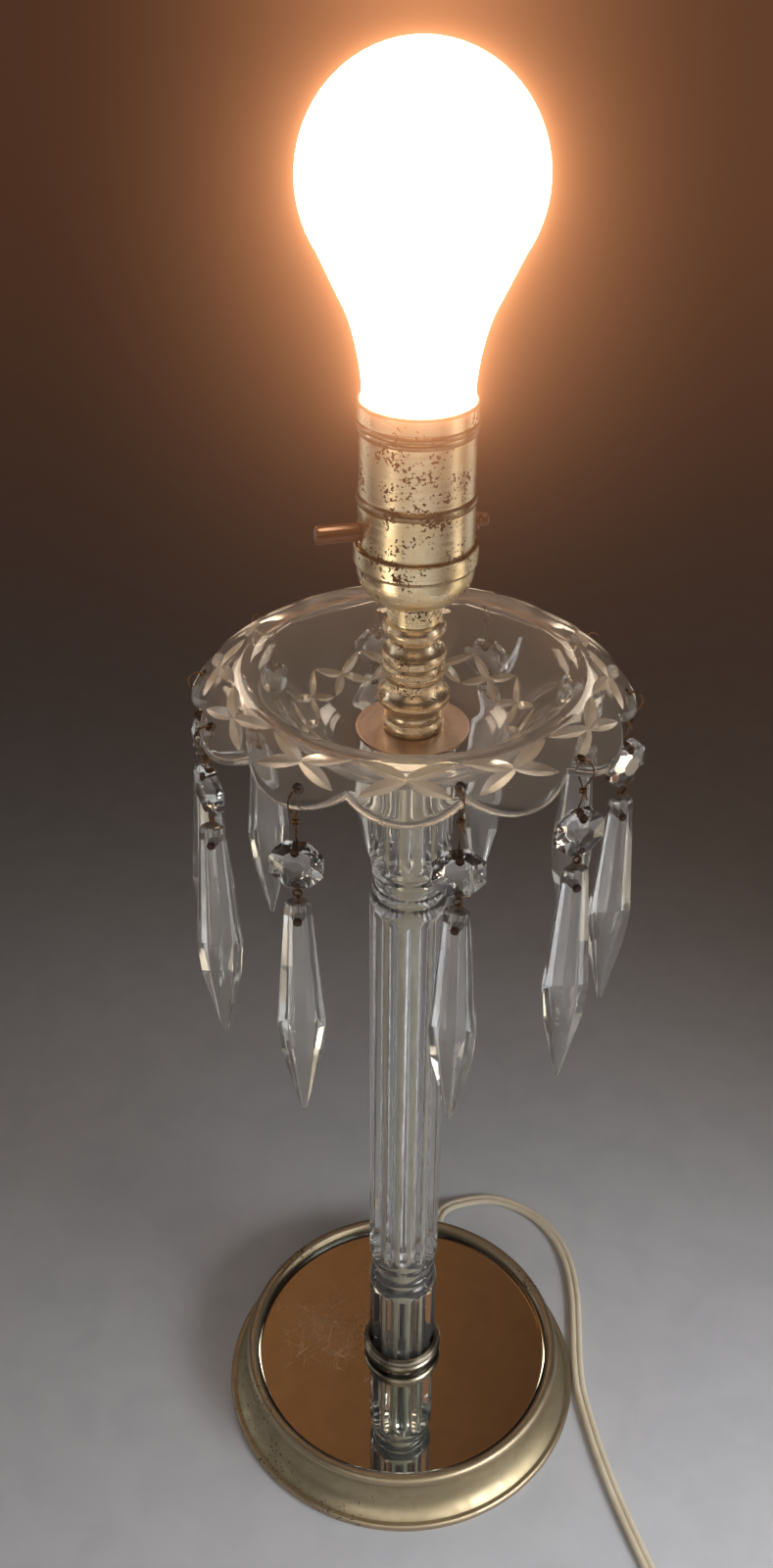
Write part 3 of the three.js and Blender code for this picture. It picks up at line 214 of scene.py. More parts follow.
# %% Rubbed edges and settled tarnish
rubbed, source, result = start_group(
    "rubbed_edges",
    "ShaderNodeTree",
    [("Break Scale", "Float", 400), ("Reach", "Float", 0.5)],
    [("Edge", "Float"), ("Hollow", "Float")],
)
curve = add_node(rubbed, "ShaderNodeAttribute", attribute_name="edge").outputs["Fac"]
place = add_node(rubbed, "ShaderNodeTexCoord").outputs["Object"]
sockets = {"Vector": place, "Scale": source.outputs["Break Scale"], "Detail": 4}
noise = add_node(rubbed, "ShaderNodeTexNoise", sockets).outputs["Fac"]
reach = math_node(rubbed, "MULTIPLY", source.outputs["Reach"], noise)
edge = math_node(rubbed, "SUBTRACT", curve, 0.22)
hollow = math_node(rubbed, "MULTIPLY", curve, -1)
rubbed.links.new(spread(rubbed, math_node(rubbed, "ADD", edge, reach), 0.12, 0.45), result.inputs["Edge"])
rubbed.links.new(spread(rubbed, math_node(rubbed, "ADD", hollow, reach), 0.3, 0.7), result.inputs["Hollow"])
print("shader groups:", [group.name for group in bpy.data.node_groups])

# %% [markdown]
# ## Materials
# The plated base, the neck and the socket are one champagne-coloured plate in three tones, so one
# function lays plate, grain, smears, specks and wear on each other. The base's plate is the darkest. The
# neck's is pushed near white and warm, partly as painted light from the lit bulb. The mirror's silver is
# scratched, and the scratches are painted a warm light colour, most in a patch left of the column, as a
# painted glow of the bulb's light. Glass stays clear, with a faint film of dust that lights up as a haze:
# only its roughness and its surface change a little, since a tint that varies would look like paint. The
# mitre cuts' even peach tint is painted light from the bulb.

# %% Material helpers
def start_material(name):
    """A node material with its Principled shader, ready to be filled."""
    material = bpy.data.materials.new(name)
    material.use_nodes = True
    tree = material.node_tree
    tree.nodes.clear()
    shader = tree.nodes.new("ShaderNodeBsdfPrincipled")
    output = tree.nodes.new("ShaderNodeOutputMaterial")
    tree.links.new(shader.outputs["BSDF"], output.inputs["Surface"])
    return material, tree, shader


def use_group(tree, group, **values):
    """Places a shader group and sets its inputs; an underscore in a name stands for a space."""
    placed = add_node(tree, "ShaderNodeGroup", node_tree=group)
    for label, value in values.items():
        placed.inputs[label.replace("_", " ").title()].default_value = value
    return placed


def bump(tree, shader, height, distance):
    """Turns a value into relief; the distance is in millimetres."""
    sockets = {"Height": height, "Distance": distance * MM, "Strength": 1.0}
    tree.links.new(add_node(tree, "ShaderNodeBump", sockets).outputs["Normal"], shader.inputs["Normal"])

# %% Plated metal
def plated(
    name, colour, aged, speck_colour, roughness, level, seed,
    patch_scale=60, speck_scale=1500, bare=None, metallic=1,
):
    """Bright plate with turned grain, smears, dark specks, edges worn bare and tarnished hollows.

    A higher level leaves fewer specks. The patch scale sets how wide their clusters are.
    """
    material, tree, shader = start_material(name)
    ring = use_group(tree, grain, ring_scale=1400, break_scale=30).outputs["Value"]
    smear = use_group(tree, smears, scale=70, stretch=1.5).outputs["Value"]
    speck = use_group(tree, specks, speck_scale=speck_scale, patch_scale=patch_scale, level=level, seed=seed)
    worn = use_group(tree, rubbed, break_scale=500, reach=0.35)
    shade = mix_colours(tree, smear, colour, aged)
    dulled = mix_colours(tree, math_node(tree, "MULTIPLY", worn.outputs["Hollow"], 0.6), shade, speck_colour)
    dark = math_node(tree, "MULTIPLY", worn.outputs["Edge"], 0.75)
    rubbed_shade = mix_colours(tree, dark, dulled, bare or speck_colour)
    coloured = mix_colours(tree, speck.outputs["Mask"], rubbed_shade, speck_colour)
    tree.links.new(coloured, shader.inputs["Base Color"])
    tree.links.new(spread(tree, speck.outputs["Mask"], 0, 1, metallic, 0.25), shader.inputs["Metallic"])
    rough = spread(tree, smear, 0, 1, roughness - 0.03, roughness + 0.05)
    ringed = math_node(tree, "ADD", rough, spread(tree, ring, 0.3, 0.7, -0.04, 0.04))
    marked = math_node(tree, "ADD", ringed, math_node(tree, "MULTIPLY", speck.outputs["Mask"], 0.35))
    tree.links.new(marked, shader.inputs["Roughness"])
    pitted = math_node(tree, "SUBTRACT", math_node(tree, "MULTIPLY", ring, 0.25), speck.outputs["Mask"])
    bump(tree, shader, pitted, 0.03)
    return material

# %% Metal finishes
plated_base = plated(
    "plated_base", (0.45, 0.38, 0.25), (0.4, 0.33, 0.21), (0.09, 0.06, 0.035),
    roughness=0.46, level=0.71, seed=3, patch_scale=26, speck_scale=900, bare=(0.46, 0.37, 0.26),
)
# The neck's plate colour is pushed near white and warm: this is partly painted light, standing in for the lit
# bulb's light on the neck
plated_neck = plated(
    "plated_neck", (0.98, 0.84, 0.62), (0.92, 0.73, 0.47), (0.16, 0.085, 0.04), roughness=0.27,
    level=0.645, seed=7, patch_scale=140, speck_scale=1700, bare=(0.5, 0.31, 0.16), metallic=0.8,
)
socket_brass = plated(
    "socket_brass", (0.9, 0.79, 0.56), (0.84, 0.72, 0.46), (0.05, 0.033, 0.02),
    roughness=0.29, level=0.635, seed=5, patch_scale=105, speck_scale=1050,
)
dark_nickel = plated(
    "dark_nickel", (0.5, 0.44, 0.36), (0.4, 0.34, 0.27), (0.06, 0.045, 0.03),
    roughness=0.32, level=0.76, seed=9,
)
copper = plated(
    "copper", (0.74, 0.61, 0.52), (0.66, 0.52, 0.43), (0.2, 0.11, 0.07),
    roughness=0.4, level=0.74, seed=11,
)
pendant_wire = plated(
    "pendant_wire", (0.24, 0.14, 0.07), (0.1, 0.055, 0.03), (0.04, 0.024, 0.014),
    roughness=0.45, level=0.58, seed=13, patch_scale=300,
)
bulb_screw = plated(
    "bulb_screw", (0.72, 0.71, 0.68), (0.6, 0.58, 0.54), (0.2, 0.18, 0.16),
    roughness=0.3, level=0.8, seed=17,
)
blade_brass = plated(
    "blade_brass", (0.78, 0.68, 0.42), (0.66, 0.54, 0.3), (0.2, 0.14, 0.07),
    roughness=0.28, level=0.8, seed=19,
)
print("materials with the metal ones:", len(bpy.data.materials))

# %% Moulded, cast and lacquered finishes
def mottled(name, colour, aged, roughness, depth, scale, metallic=0.0, coat=0.0):
    """A moulded, cast or lacquered finish: two close shades, uneven gloss and a fine texture.

    The texture's depth is in millimetres, and a higher scale makes it finer.
    """
    material, tree, shader = start_material(name)
    shade = use_group(tree, smears, scale=scale * 0.15, stretch=0.6).outputs["Value"]
    texture = use_group(tree, smears, scale=scale, stretch=0.2).outputs["Value"]
    tree.links.new(mix_colours(tree, shade, colour, aged), shader.inputs["Base Color"])
    tree.links.new(spread(tree, shade, 0, 1, roughness - 0.06, roughness + 0.08), shader.inputs["Roughness"])
    shader.inputs["Metallic"].default_value = metallic
    shader.inputs["Coat Weight"].default_value = coat
    bump(tree, shader, texture, depth)
    return material


cast_iron = mottled("cast_iron", (0.05, 0.048, 0.045), (0.1, 0.07, 0.05), 0.75, 0.25, 900, metallic=0.4)
lacquered_pipe = mottled(
    "lacquered_pipe", (0.84, 0.8, 0.66), (0.74, 0.68, 0.5), 0.42, 0.05, 500, metallic=0.2, coat=0.3,
)
bakelite = mottled("bakelite", (0.02, 0.018, 0.017), (0.035, 0.03, 0.026), 0.4, 0.03, 600)
switch_brown = mottled(
    "switch_brown", (0.13, 0.055, 0.028), (0.07, 0.03, 0.018), 0.3, 0.03, 500, metallic=0.3, coat=0.2,
)
cord_ivory = mottled("cord_ivory", (0.76, 0.7, 0.55), (0.67, 0.6, 0.45), 0.45, 0.05, 420)
plug_ivory = mottled("plug_ivory", (0.71, 0.65, 0.5), (0.62, 0.55, 0.41), 0.4, 0.06, 420)
hole_grime = mottled("hole_grime", (0.04, 0.017, 0.01), (0.065, 0.03, 0.016), 0.7, 0.05, 900)
print("and with the moulded and cast ones:", len(bpy.data.materials))

# %% Mirror
# A patch left of the column lifts the scratches. Wherever they show they take a warm, light colour, which is
# a painted glow of the bulb's light. Their roughness and duller metal are the scratches' own.
SCRATCH_GLOW_PLACE = (-0.03, 0.008, 0.025)
SCRATCH_GLOW_FROM, SCRATCH_GLOW_TO, SCRATCH_GLOW_LIFT = 0.006, 0.04, 0.26
# Each set of scratches: its turn in radians and how many times longer than broad it is
SCRATCHES = [(0.7, 26), (-0.5, 34), (1.5, 20)]

mirror_silver, tree, shader = start_material("mirror_silver")
smear = use_group(tree, smears, scale=45, stretch=2.5).outputs["Value"]
place = add_node(tree, "ShaderNodeTexCoord").outputs["Object"]
away = vector_node(tree, "DISTANCE", {0: place, 1: SCRATCH_GLOW_PLACE}, "Value")
glow_patch = spread(tree, away, SCRATCH_GLOW_FROM, SCRATCH_GLOW_TO, SCRATCH_GLOW_LIFT, 0)
scratches_and_glow = 0.0
for turn, stretch in SCRATCHES:
    sockets = {"Vector": place, "Rotation": (0, 0, turn), "Scale": (1, 1 / stretch, 1)}
    turned = add_node(tree, "ShaderNodeMapping", sockets, vector_type="TEXTURE").outputs[0]
    line = add_node(tree, "ShaderNodeTexNoise", {"Vector": turned, "Scale": 80, "Detail": 1}).outputs["Fac"]
    lifted = math_node(tree, "ADD", line, glow_patch)
    scratches_and_glow = math_node(tree, "MAXIMUM", scratches_and_glow, spread(tree, lifted, 0.8, 0.88))
silvered = mix_colours(tree, smear, (0.86, 0.85, 0.83), (0.79, 0.77, 0.74))
# Painted glow: the scratches take a warm, light colour in place of the bulb's light that they scatter
tree.links.new(mix_colours(tree, scratches_and_glow, silvered, (1.0, 0.74, 0.55)), shader.inputs["Base Color"])
clouds = spread(tree, smear, 0, 1, 0.012, 0.05)
cloudy = math_node(tree, "ADD", clouds, math_node(tree, "MULTIPLY", scratches_and_glow, 0.25))
tree.links.new(cloudy, shader.inputs["Roughness"])
tree.links.new(spread(tree, scratches_and_glow, 0, 1, 1, 0.45), shader.inputs["Metallic"])
print("mirror nodes:", len(tree.nodes))

# %% Glass
def clear_glass(name, colour, ior, roughness, ripple, scale, frost=0.0):
    """Glass with faint smears and the slow ripple of a pressed or cut surface, in millimetres."""
    material, tree, shader = start_material(name)
    smear = use_group(tree, smears, scale=scale, stretch=1.8).outputs["Value"]
    wave = use_group(tree, smears, scale=scale * 0.6, stretch=0.4).outputs["Value"]
    filmed = tuple(c * 0.985 for c in colour)
    tree.links.new(mix_colours(tree, smear, colour, filmed), shader.inputs["Base Color"])
    tree.links.new(spread(tree, smear, 0.3, 1, roughness, roughness + 0.04), shader.inputs["Roughness"])
    shader.inputs["Transmission Weight"].default_value = 1 - frost
    shader.inputs["IOR"].default_value = ior
    bump(tree, shader, wave, ripple)
    return material


# Colour, index of refraction, roughness, depth of the ripple, its scale, and the share that is frosted
pressed_glass = clear_glass("pressed_glass", (0.985, 0.99, 0.98), 1.51, 0.012, 0.0008, 60, frost=0.05)
dish_glass = clear_glass("dish_glass", (0.99, 0.975, 0.955), 1.52, 0.008, 0.03, 45, frost=0.09)
bead_crystal = clear_glass("bead_crystal", (0.99, 0.99, 0.98), 1.57, 0.004, 0.005, 150, frost=0.02)
crystal = clear_glass("crystal", (0.985, 0.99, 0.975), 1.55, 0.004, 0.005, 150, frost=0.09)
mirror_glass = clear_glass("mirror_glass", (0.94, 0.98, 0.95), 1.52, 0.006, 0.002, 80)
# The mitre cuts' warm peach tint is painted light: it stands in for the lit bulb's warm light on the frosted
# cuts
mitre_cut = clear_glass("mitre_cut", (1.0, 0.92, 0.82), 1.52, 0.2, 0.01, 240, frost=0.32)
print("and with the glass ones:", len(bpy.data.materials))

# %% Lit bulb
BULB_GLOW = 13

bulb_lit, tree, shader = start_material("bulb_lit")
shade = use_group(tree, smears, scale=30, stretch=0.5).outputs["Value"]
tree.links.new(mix_colours(tree, shade, (1.0, 0.76, 0.5), (1.0, 0.73, 0.46)), shader.inputs["Emission Color"])
tree.links.new(mix_colours(tree, shade, (0.95, 0.93, 0.9), (0.92, 0.9, 0.86)), shader.inputs["Base Color"])
shader.inputs["Roughness"].default_value = 0.35
shader.inputs["Emission Strength"].default_value = BULB_GLOW
print("all materials, the CAD model's own among them:", len(bpy.data.materials))

# %% [markdown]
# ## Mesh helpers
# Most of the lamp is turned work. An outline in the radius-height plane is swung round the axis, which could
# be the Spin tool or a Screw modifier. Plain code is used here, because it can also soften each corner by a
# fine fillet and store how sharply the outline bends, which the wear in the materials reads.

# %% Outline
TINY = 1e-6
SHARP_TURN, WIDEST_TURN = math.radians(22), 2.6
FILLET_SHARE = 0.42


class Outline:
    """An outline in the radius-height plane, drawn with the material on its left."""

    def __init__(self, radius, height):
        self.points = [Vector((radius, height))]

    def line(self, radius, height):
        self.points.append(Vector((radius, height)))
        return self

    def arc(self, radius, height, sagitta, steps=8):
        """An arc that swells outwards by its sagitta, or hollows in where that is negative."""
        start, end = self.points[-1], Vector((radius, height))
        half = (end - start).length / 2
        along = (end - start).normalized()
        out = Vector((along.y, -along.x)) * math.copysign(1, sagitta)
        depth = abs(sagitta)
        bow = (half * half + depth * depth) / (2 * depth)
        sweep = 2 * math.atan2(half, bow - depth)
        middle = (start + end) / 2
        for k in range(1, steps):
            turn = sweep * (k / steps - 0.5)
            swell = bow * math.cos(turn) - bow + depth
            self.points.append(middle + along * bow * math.sin(turn) + out * swell)
        self.points.append(end)
        return self


def softened(points, closed, fillet):
    """Replaces each sharp corner by a fine fillet of four points, within its share of each side."""
    made = []
    count = len(points)
    for k, corner in enumerate(points):
        if not closed and k in (0, count - 1):
            made.append(corner.copy())
            continue
        before, after = points[k - 1], points[(k + 1) % count]
        into, out = corner - before, after - corner
        turn = into.angle(out, 0)
        if turn < SHARP_TURN:
            made.append(corner.copy())
            continue
        room = FILLET_SHARE * min(into.length, out.length)
        reach = min(fillet * math.tan(min(turn, WIDEST_TURN) / 2), room)
        start, end = corner - into.normalized() * reach, corner + out.normalized() * reach
        for share in (0, 1 / 3, 2 / 3, 1):
            made.append(start.lerp(corner, share).lerp(corner.lerp(end, share), share))
    return made


def bends(points, closed):
    """How sharply the outline turns at each point: above 0 on an edge, below 0 in a hollow."""
    values = []
    count = len(points)
    for k, here in enumerate(points):
        if not closed and k in (0, count - 1):
            values.append(0.0)
            continue
        into, out = here - points[k - 1], points[(k + 1) % count] - here
        if into.length < TINY or out.length < TINY:
            values.append(0.0)
            continue
        turn = math.atan2(into.x * out.y - into.y * out.x, into.dot(out))
        values.append(max(-1.0, min(1.0, turn / ((into.length + out.length) / 2))))
    return values


def spaced(points, values, closed, reach=0.6):
    """Adds a point near both ends of each long side, so that wear and shading stay at the edges."""
    made, kept = [], []
    for k, here in enumerate(points):
        made.append(here)
        kept.append(values[k])
        if not closed and k == len(points) - 1:
            break
        after = points[(k + 1) % len(points)]
        side = after - here
        if side.length > 2.6 * reach:
            made += [here + side.normalized() * reach, after - side.normalized() * reach]
            kept += [0.0, 0.0]
    return made, kept

# %% Mesh objects
def make_mesh(name, points, faces, materials, smooth=True, edges=()):
    """A mesh object at the origin, from points in millimetres."""
    mesh = bpy.data.meshes.new(name)
    mesh.from_pydata([tuple(c * MM for c in p) for p in points], edges, faces)
    for material in materials:
        mesh.materials.append(material)
    if smooth:
        mesh.shade_smooth()
    return add_object(name, mesh)


def tube_faces(rings, count, closed=False):
    """Four-sided faces between rings of as many points; a closed tube joins its last ring to its first."""
    faces = []
    for k in range(rings if closed else rings - 1):
        here, following = k * count, (k + 1) % rings * count
        for j in range(count):
            step = (j + 1) % count
            faces.append((here + j, here + step, following + step, following + j))
    return faces

# %% Turned pieces
def lathe(name, outline, material, sides=96, fillet=0.25):
    """Turns an outline about the upright axis; an outline that leaves the axis closes on itself."""
    closed = outline.points[0].x >= TINY or outline.points[-1].x >= TINY
    corners = softened(outline.points, closed, fillet)
    rings, edges = spaced(corners, bends(corners, closed), closed)
    points, values, starts = [], [], []
    for ring, edge_value in zip(rings, edges):
        starts.append(len(points))
        around = 1 if ring.x < TINY else sides
        for k in range(around):
            turn = 2 * math.pi * k / sides
            points.append((ring.x * math.cos(turn), ring.x * math.sin(turn), ring.y))
            values.append(edge_value)
    faces = []
    for here in range(len(rings) if closed else len(rings) - 1):
        following = (here + 1) % len(rings)
        low, high = starts[here], starts[following]
        low_pole, high_pole = rings[here].x < TINY, rings[following].x < TINY
        for k in range(sides):
            step = (k + 1) % sides
            if low_pole:
                faces.append((low, high + step, high + k))
            elif high_pole:
                faces.append((low + k, low + step, high))
            else:
                faces.append((low + k, low + step, high + step, high + k))
    piece = make_mesh(name, points, faces, [material])
    piece.data.attributes.new("edge", "FLOAT", "POINT").data.foreach_set("value", values)
    return piece

# %% Cuts and drilled holes
def applied(piece, modifier):
    """Applies a modifier, so that the piece's mesh becomes what it shows."""
    graph = bpy.context.evaluated_depsgraph_get()
    shown = piece.evaluated_get(graph)
    made = bpy.data.meshes.new_from_object(shown, preserve_all_data_layers=True, depsgraph=graph)
    piece.modifiers.remove(modifier)
    made.name = piece.name
    old, piece.data = piece.data, made
    bpy.data.meshes.remove(old)
    return piece


def subtract(piece, cutter, cut_material=None):
    """Cuts a closed shape out of a piece; the cut faces can take their own material."""
    if cut_material:
        cutter.data.materials.clear()
        cutter.data.materials.append(cut_material)
    cutting = piece.modifiers.new("cut", "BOOLEAN")
    cutting.operation = "DIFFERENCE"
    cutting.solver = "MANIFOLD"
    cutting.material_mode = "TRANSFER"
    cutting.object = cutter
    applied(piece, cutting)
    bpy.data.objects.remove(cutter)
    return piece


def crisp(piece, angle=30):
    """Smooth shading that breaks where the faces meet at more than an angle."""
    piece.data.shade_smooth()
    piece.data.set_sharp_from_angle(angle=math.radians(angle))
    return piece


def rod(name, radius, start, end, sides=32):
    """A closed round bar between two points, in millimetres."""
    start, end = Vector(start), Vector(end)
    turn = (end - start).to_track_quat("Z", "Y").to_matrix()
    points = []
    for place in (start, end):
        for k in range(sides):
            angle = 2 * math.pi * k / sides
            points.append(place + turn @ Vector((radius * math.cos(angle), radius * math.sin(angle), 0)))
    caps = [tuple(reversed(range(sides))), tuple(range(sides, 2 * sides))]
    return make_mesh(name, points, tube_faces(2, sides) + caps, [])

# %% Directions, bodies and finishes
def outwards(angle):
    """The level direction at an angle from the front towards the right."""
    return Vector((math.sin(math.radians(angle)), -math.cos(math.radians(angle)), 0))


def hand_over(piece, body, slot, *nodes):
    """The piece rides on its body and stands for its CAD nodes, which it hides; the slot is not used."""
    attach(piece, body)
    if nodes:
        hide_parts(*nodes)
    print(piece.name, len(piece.data.polygons), "faces")
    return piece


def dress(node, material):
    """A CAD node whose shape is right stays, and only takes its finish."""
    slots = frame["nodes"][node].data.materials
    slots.clear()
    slots.append(material)
    print(node, "takes", material.name)

# %% [markdown]
# ## Cord
# The lamp's lead is a flat ivory one: two cores side by side, 5 mm across and 2.7 mm thick. It leaves the
# base through a bushing at the back, falls to the table and runs in a loose curve to the front right corner
# of the photograph, where the rest of its 1.8 m lies wound in two layers, just out of view. A bevelled curve
# would give a round section, so the lead's own section is swept along the route by code.

# %% Cord route
CORD_WIDTH, CORD_THICKNESS, CORD_LENGTH = 5, 2.7, 1800
EXIT_ANGLE, EXIT_HEIGHT, EXIT_RADIUS, SEAT_GAP = 168, 7.8, 71.8, 0.3
COIL_TURNS, COIL_PITCH, COIL_RISE = 8, 5.5, 3.3
COIL_CENTRE, COIL_START, COIL_LEAD_OUT = Vector((68, -131, 0)), 20.9, 24
ON_TABLE = CORD_THICKNESS / 2
coil_heading = outwards(COIL_START)
coil_spread = COIL_TURNS / 4 * COIL_PITCH


def along_exit(distance, height):
    return outwards(EXIT_ANGLE) * distance + Vector((0, 0, height))


def flowing(points, spacing, steps_between=24):
    """A smooth curve through points, as places an even spacing apart."""
    points = [Vector(p) for p in points]
    whole = [2 * points[0] - points[1], *points, 2 * points[-1] - points[-2]]
    fine = []
    for a, b, c, d in zip(whole, whole[1:], whole[2:], whole[3:]):
        first, middle, last = ((q - p).length ** 0.5 for p, q in ((a, b), (b, c), (c, d)))
        leave = ((b - a) / first - (c - a) / (first + middle) + (c - b) / middle) * middle
        arrive = ((c - b) / middle - (d - b) / (middle + last) + (d - c) / last) * middle
        for k in range(steps_between):
            t = k / steps_between
            cubic = 2 * b - 2 * c + leave + arrive
            square = -3 * b + 3 * c - 2 * leave - arrive
            fine.append(b + leave * t + square * t * t + cubic * t ** 3)
    fine.append(points[-1])
    steps = np.array([(q - p).length for p, q in zip(fine, fine[1:])])
    travelled = np.concatenate([[0], np.cumsum(steps)])
    count = max(2, round(travelled[-1] / spacing))
    stops = np.linspace(0, travelled[-1], count + 1)
    parts = [np.interp(stops, travelled, part) for part in np.array(fine).T]
    return [Vector(place) for place in zip(*parts)]


def coil_point(radius, turn, height):
    return COIL_CENTRE + Vector((radius * math.cos(turn), radius * math.sin(turn), height))


def free_route(coil_start):
    """The route from the bushing to the coil, chosen from the photograph."""
    falling = [(15.9, 74.4, 7.6), (17.6, 78.8, 6.3), (20.8, 83.2, 4.2), (25.6, 86.9, 2.4), (31.8, 89.4, 1.5)]
    lying = [
        (39.7, 90.4), (51.3, 86.9), (61.3, 79.6), (69, 68.4), (73.2, 55.1), (74.7, 38), (74.2, 22.5),
        (73.4, 7), (73.6, -7.8), (75.4, -19.5), (78.5, -35.2), (82.6, -50.8), (87.3, -66), (93.3, -83),
        (99.5, -98.6),
    ]
    leaves = along_exit(EXIT_RADIUS + SEAT_GAP, EXIT_HEIGHT)
    arrives = coil_start - coil_heading * (CORD_WIDTH + SEAT_GAP)
    return [leaves, *falling, *((x, y, ON_TABLE) for x, y in lying), arrives]


def route_length(points):
    return sum((q - p).length for p, q in zip(points, points[1:]))

# %% Coil
# The coil's radius sets where the free stretch ends, so the two are worked out in a few rounds
coil_radius = 30
for _ in range(4):
    coil_start = coil_point(coil_radius + coil_spread, math.radians(COIL_START), ON_TABLE)
    free_length = route_length(flowing(free_route(coil_start), 1))
    coil_radius = (CORD_LENGTH - free_length - CORD_WIDTH - COIL_LEAD_OUT) / (2 * math.pi * COIL_TURNS)
coil_outer = coil_radius + coil_spread
coil_start = coil_point(coil_outer, math.radians(COIL_START), ON_TABLE)
print("free stretch", round(free_length, 1), "mm, coil radius", round(coil_radius, 2), "mm")


def coil_route(steps_per_turn=48):
    """Turns that spiral in, climb to the second layer where they reverse, and spiral out."""
    route = []
    for k in range(COIL_TURNS * steps_per_turn + 1):
        turns = k / steps_per_turn
        rising = min(1, max(0, (turns - COIL_TURNS / 2 + 0.25) / 0.5))
        climb = rising * rising * (3 - 2 * rising)
        radius_here = coil_outer - COIL_PITCH * min(turns, COIL_TURNS - turns)
        angle = math.radians(COIL_START - 360 * turns)
        route.append(coil_point(radius_here, angle, ON_TABLE + COIL_RISE * climb))
    coil_end = coil_start + Vector((0, 0, COIL_RISE))
    return route + [coil_end + coil_heading * reach for reach in (6, 12, 18, COIL_LEAD_OUT)]


cord_route = flowing(free_route(coil_start), 3) + coil_route()
print("whole lead", round(route_length(cord_route), 1), "mm")

# %% Swept pieces
def face_outwards(piece):
    """Recalculates the normals of a closed piece, so that its faces point outwards."""
    shape = bmesh.new()
    shape.from_mesh(piece.data)
    bmesh.ops.recalc_face_normals(shape, faces=shape.faces)
    shape.to_mesh(piece.data)
    shape.free()
    return piece


def sweep(name, route, section, material, crisp_angle=50):
    """Sweeps a section, whose first axis stays level, along a route; both ends are capped."""
    points = []
    for k, here in enumerate(route):
        onwards = (route[min(k + 1, len(route) - 1)] - route[max(k - 1, 0)]).normalized()
        side = Vector((onwards.y, -onwards.x, 0)).normalized()
        lift = side.cross(onwards)
        points += [here + side * a + lift * b for a, b in section]
    count = len(section)
    caps = [tuple(range(count)), tuple(range(len(points) - count, len(points)))]
    piece = make_mesh(name, points, tube_faces(len(route), count) + caps, [material])
    return crisp(face_outwards(piece), crisp_angle)


def twin_section(width, thickness, steps=11):
    """Two round cores side by side, moulded together, with a groove between them."""
    core, offset = thickness / 2, (width - thickness) / 2
    web_share = 0.82
    half_open = math.acos(min(1, offset / core)) * web_share
    section = []
    for side in (1, -1):
        for k in range(steps):
            turn = (k / (steps - 1) - 0.5) * 2 * (math.pi - half_open) + (0 if side > 0 else math.pi)
            section.append((side * offset + core * math.cos(turn), core * math.sin(turn)))
    return section


power_cord = sweep("power_lead", cord_route, twin_section(CORD_WIDTH, CORD_THICKNESS), cord_ivory)
print("lead faces:", len(power_cord.data.polygons))

# %% [markdown]
# ## Plug, bushing and tie
# The lead ends in a small moulded plug with two flat blades. Its body could be cut from a block; it is drawn
# as a flat outline, raised and bevelled here, because the real one is moulded in just that way. The bushing
# is a turned piece laid along the way out of the base, and a strip of the same plastic ties the coil.

# %% Moulded and joined pieces
def bevelled(piece, width, segments, angle=30):
    """Rounds a piece's sharp edges, and applies the rounding."""
    rounding = piece.modifiers.new("bevel", "BEVEL")
    rounding.width = width * MM
    rounding.segments = segments
    rounding.limit_method = "ANGLE"
    rounding.angle_limit = math.radians(angle)
    return applied(piece, rounding)


def raised(name, outline, foot, top, material):
    """A flat outline, given in order, raised from a foot to a top."""
    count = len(outline)
    points = [(x, y, foot) for x, y in outline] + [(x, y, top) for x, y in outline]
    caps = [tuple(reversed(range(count))), tuple(range(count, 2 * count))]
    return make_mesh(name, points, caps + tube_faces(2, count), [material])


def joined(name, *pieces):
    """Makes one object of several, each keeping its own materials."""
    shape = bmesh.new()
    materials = []
    for piece in pieces:
        first = len(materials)
        materials += list(piece.data.materials)
        before = len(shape.faces)
        shape.from_mesh(piece.data)
        shape.faces.ensure_lookup_table()
        for face in shape.faces[before:]:
            face.material_index += first
    mesh = bpy.data.meshes.new(name)
    shape.to_mesh(mesh)
    shape.free()
    for material in materials:
        mesh.materials.append(material)
    for piece in pieces:
        bpy.data.objects.remove(piece)
    return add_object(name, mesh)

# %% Plug
PLUG_LENGTH, PLUG_WIDTH, PLUG_HEIGHT, PLUG_ENTRY = 26, 20, 9.3, 9
BLADE_LENGTH, BLADE_WIDTH, BLADE_THICKNESS, BLADE_SPACING, BLADE_ROOT = 16, 6.3, 1.5, 12.7, 1

# The plug's side swells from the lead's entry to its full width, half way along
waist = []
for share in (0, 0.08, 0.16, 0.25, 0.35, 0.5):
    narrowing = (PLUG_WIDTH - PLUG_ENTRY) / 2 * (1 - share / 0.5) ** 2
    waist.append((PLUG_LENGTH * share, narrowing - PLUG_WIDTH / 2))
plug_outline = [*waist, (PLUG_LENGTH, -PLUG_WIDTH / 2), (PLUG_LENGTH, PLUG_WIDTH / 2)]
plug_outline += [(x, -y) for x, y in reversed(waist)]
plug_body = raised("plug_body", plug_outline, 0, PLUG_HEIGHT, plug_ivory)
plug_body = crisp(bevelled(plug_body, 1.6, 4, 40), 40)
blades = []
for side in (-1, 1):
    low, high = (side * BLADE_SPACING / 2 + half for half in (-BLADE_THICKNESS / 2, BLADE_THICKNESS / 2))
    root, tip = PLUG_LENGTH - BLADE_ROOT, PLUG_LENGTH + BLADE_LENGTH
    foot, top = (PLUG_HEIGHT / 2 + half for half in (-BLADE_WIDTH / 2, BLADE_WIDTH / 2))
    blade = raised("blade", [(root, low), (tip, low), (tip, high), (root, high)], foot, top, blade_brass)
    blades.append(crisp(bevelled(blade, 0.35, 2), 40))
cord_plug = joined("cord_end_plug", plug_body, *blades)
plug_place = coil_start + coil_heading * (COIL_LEAD_OUT + SEAT_GAP)
plug_place.z = 0
plug_turn = Matrix.Rotation(math.radians(COIL_START - 90), 4, "Z")
cord_plug.data.transform(Matrix.Translation(plug_place * MM) @ plug_turn)
hand_over(cord_plug, "stand", "plug", "cord_plug")

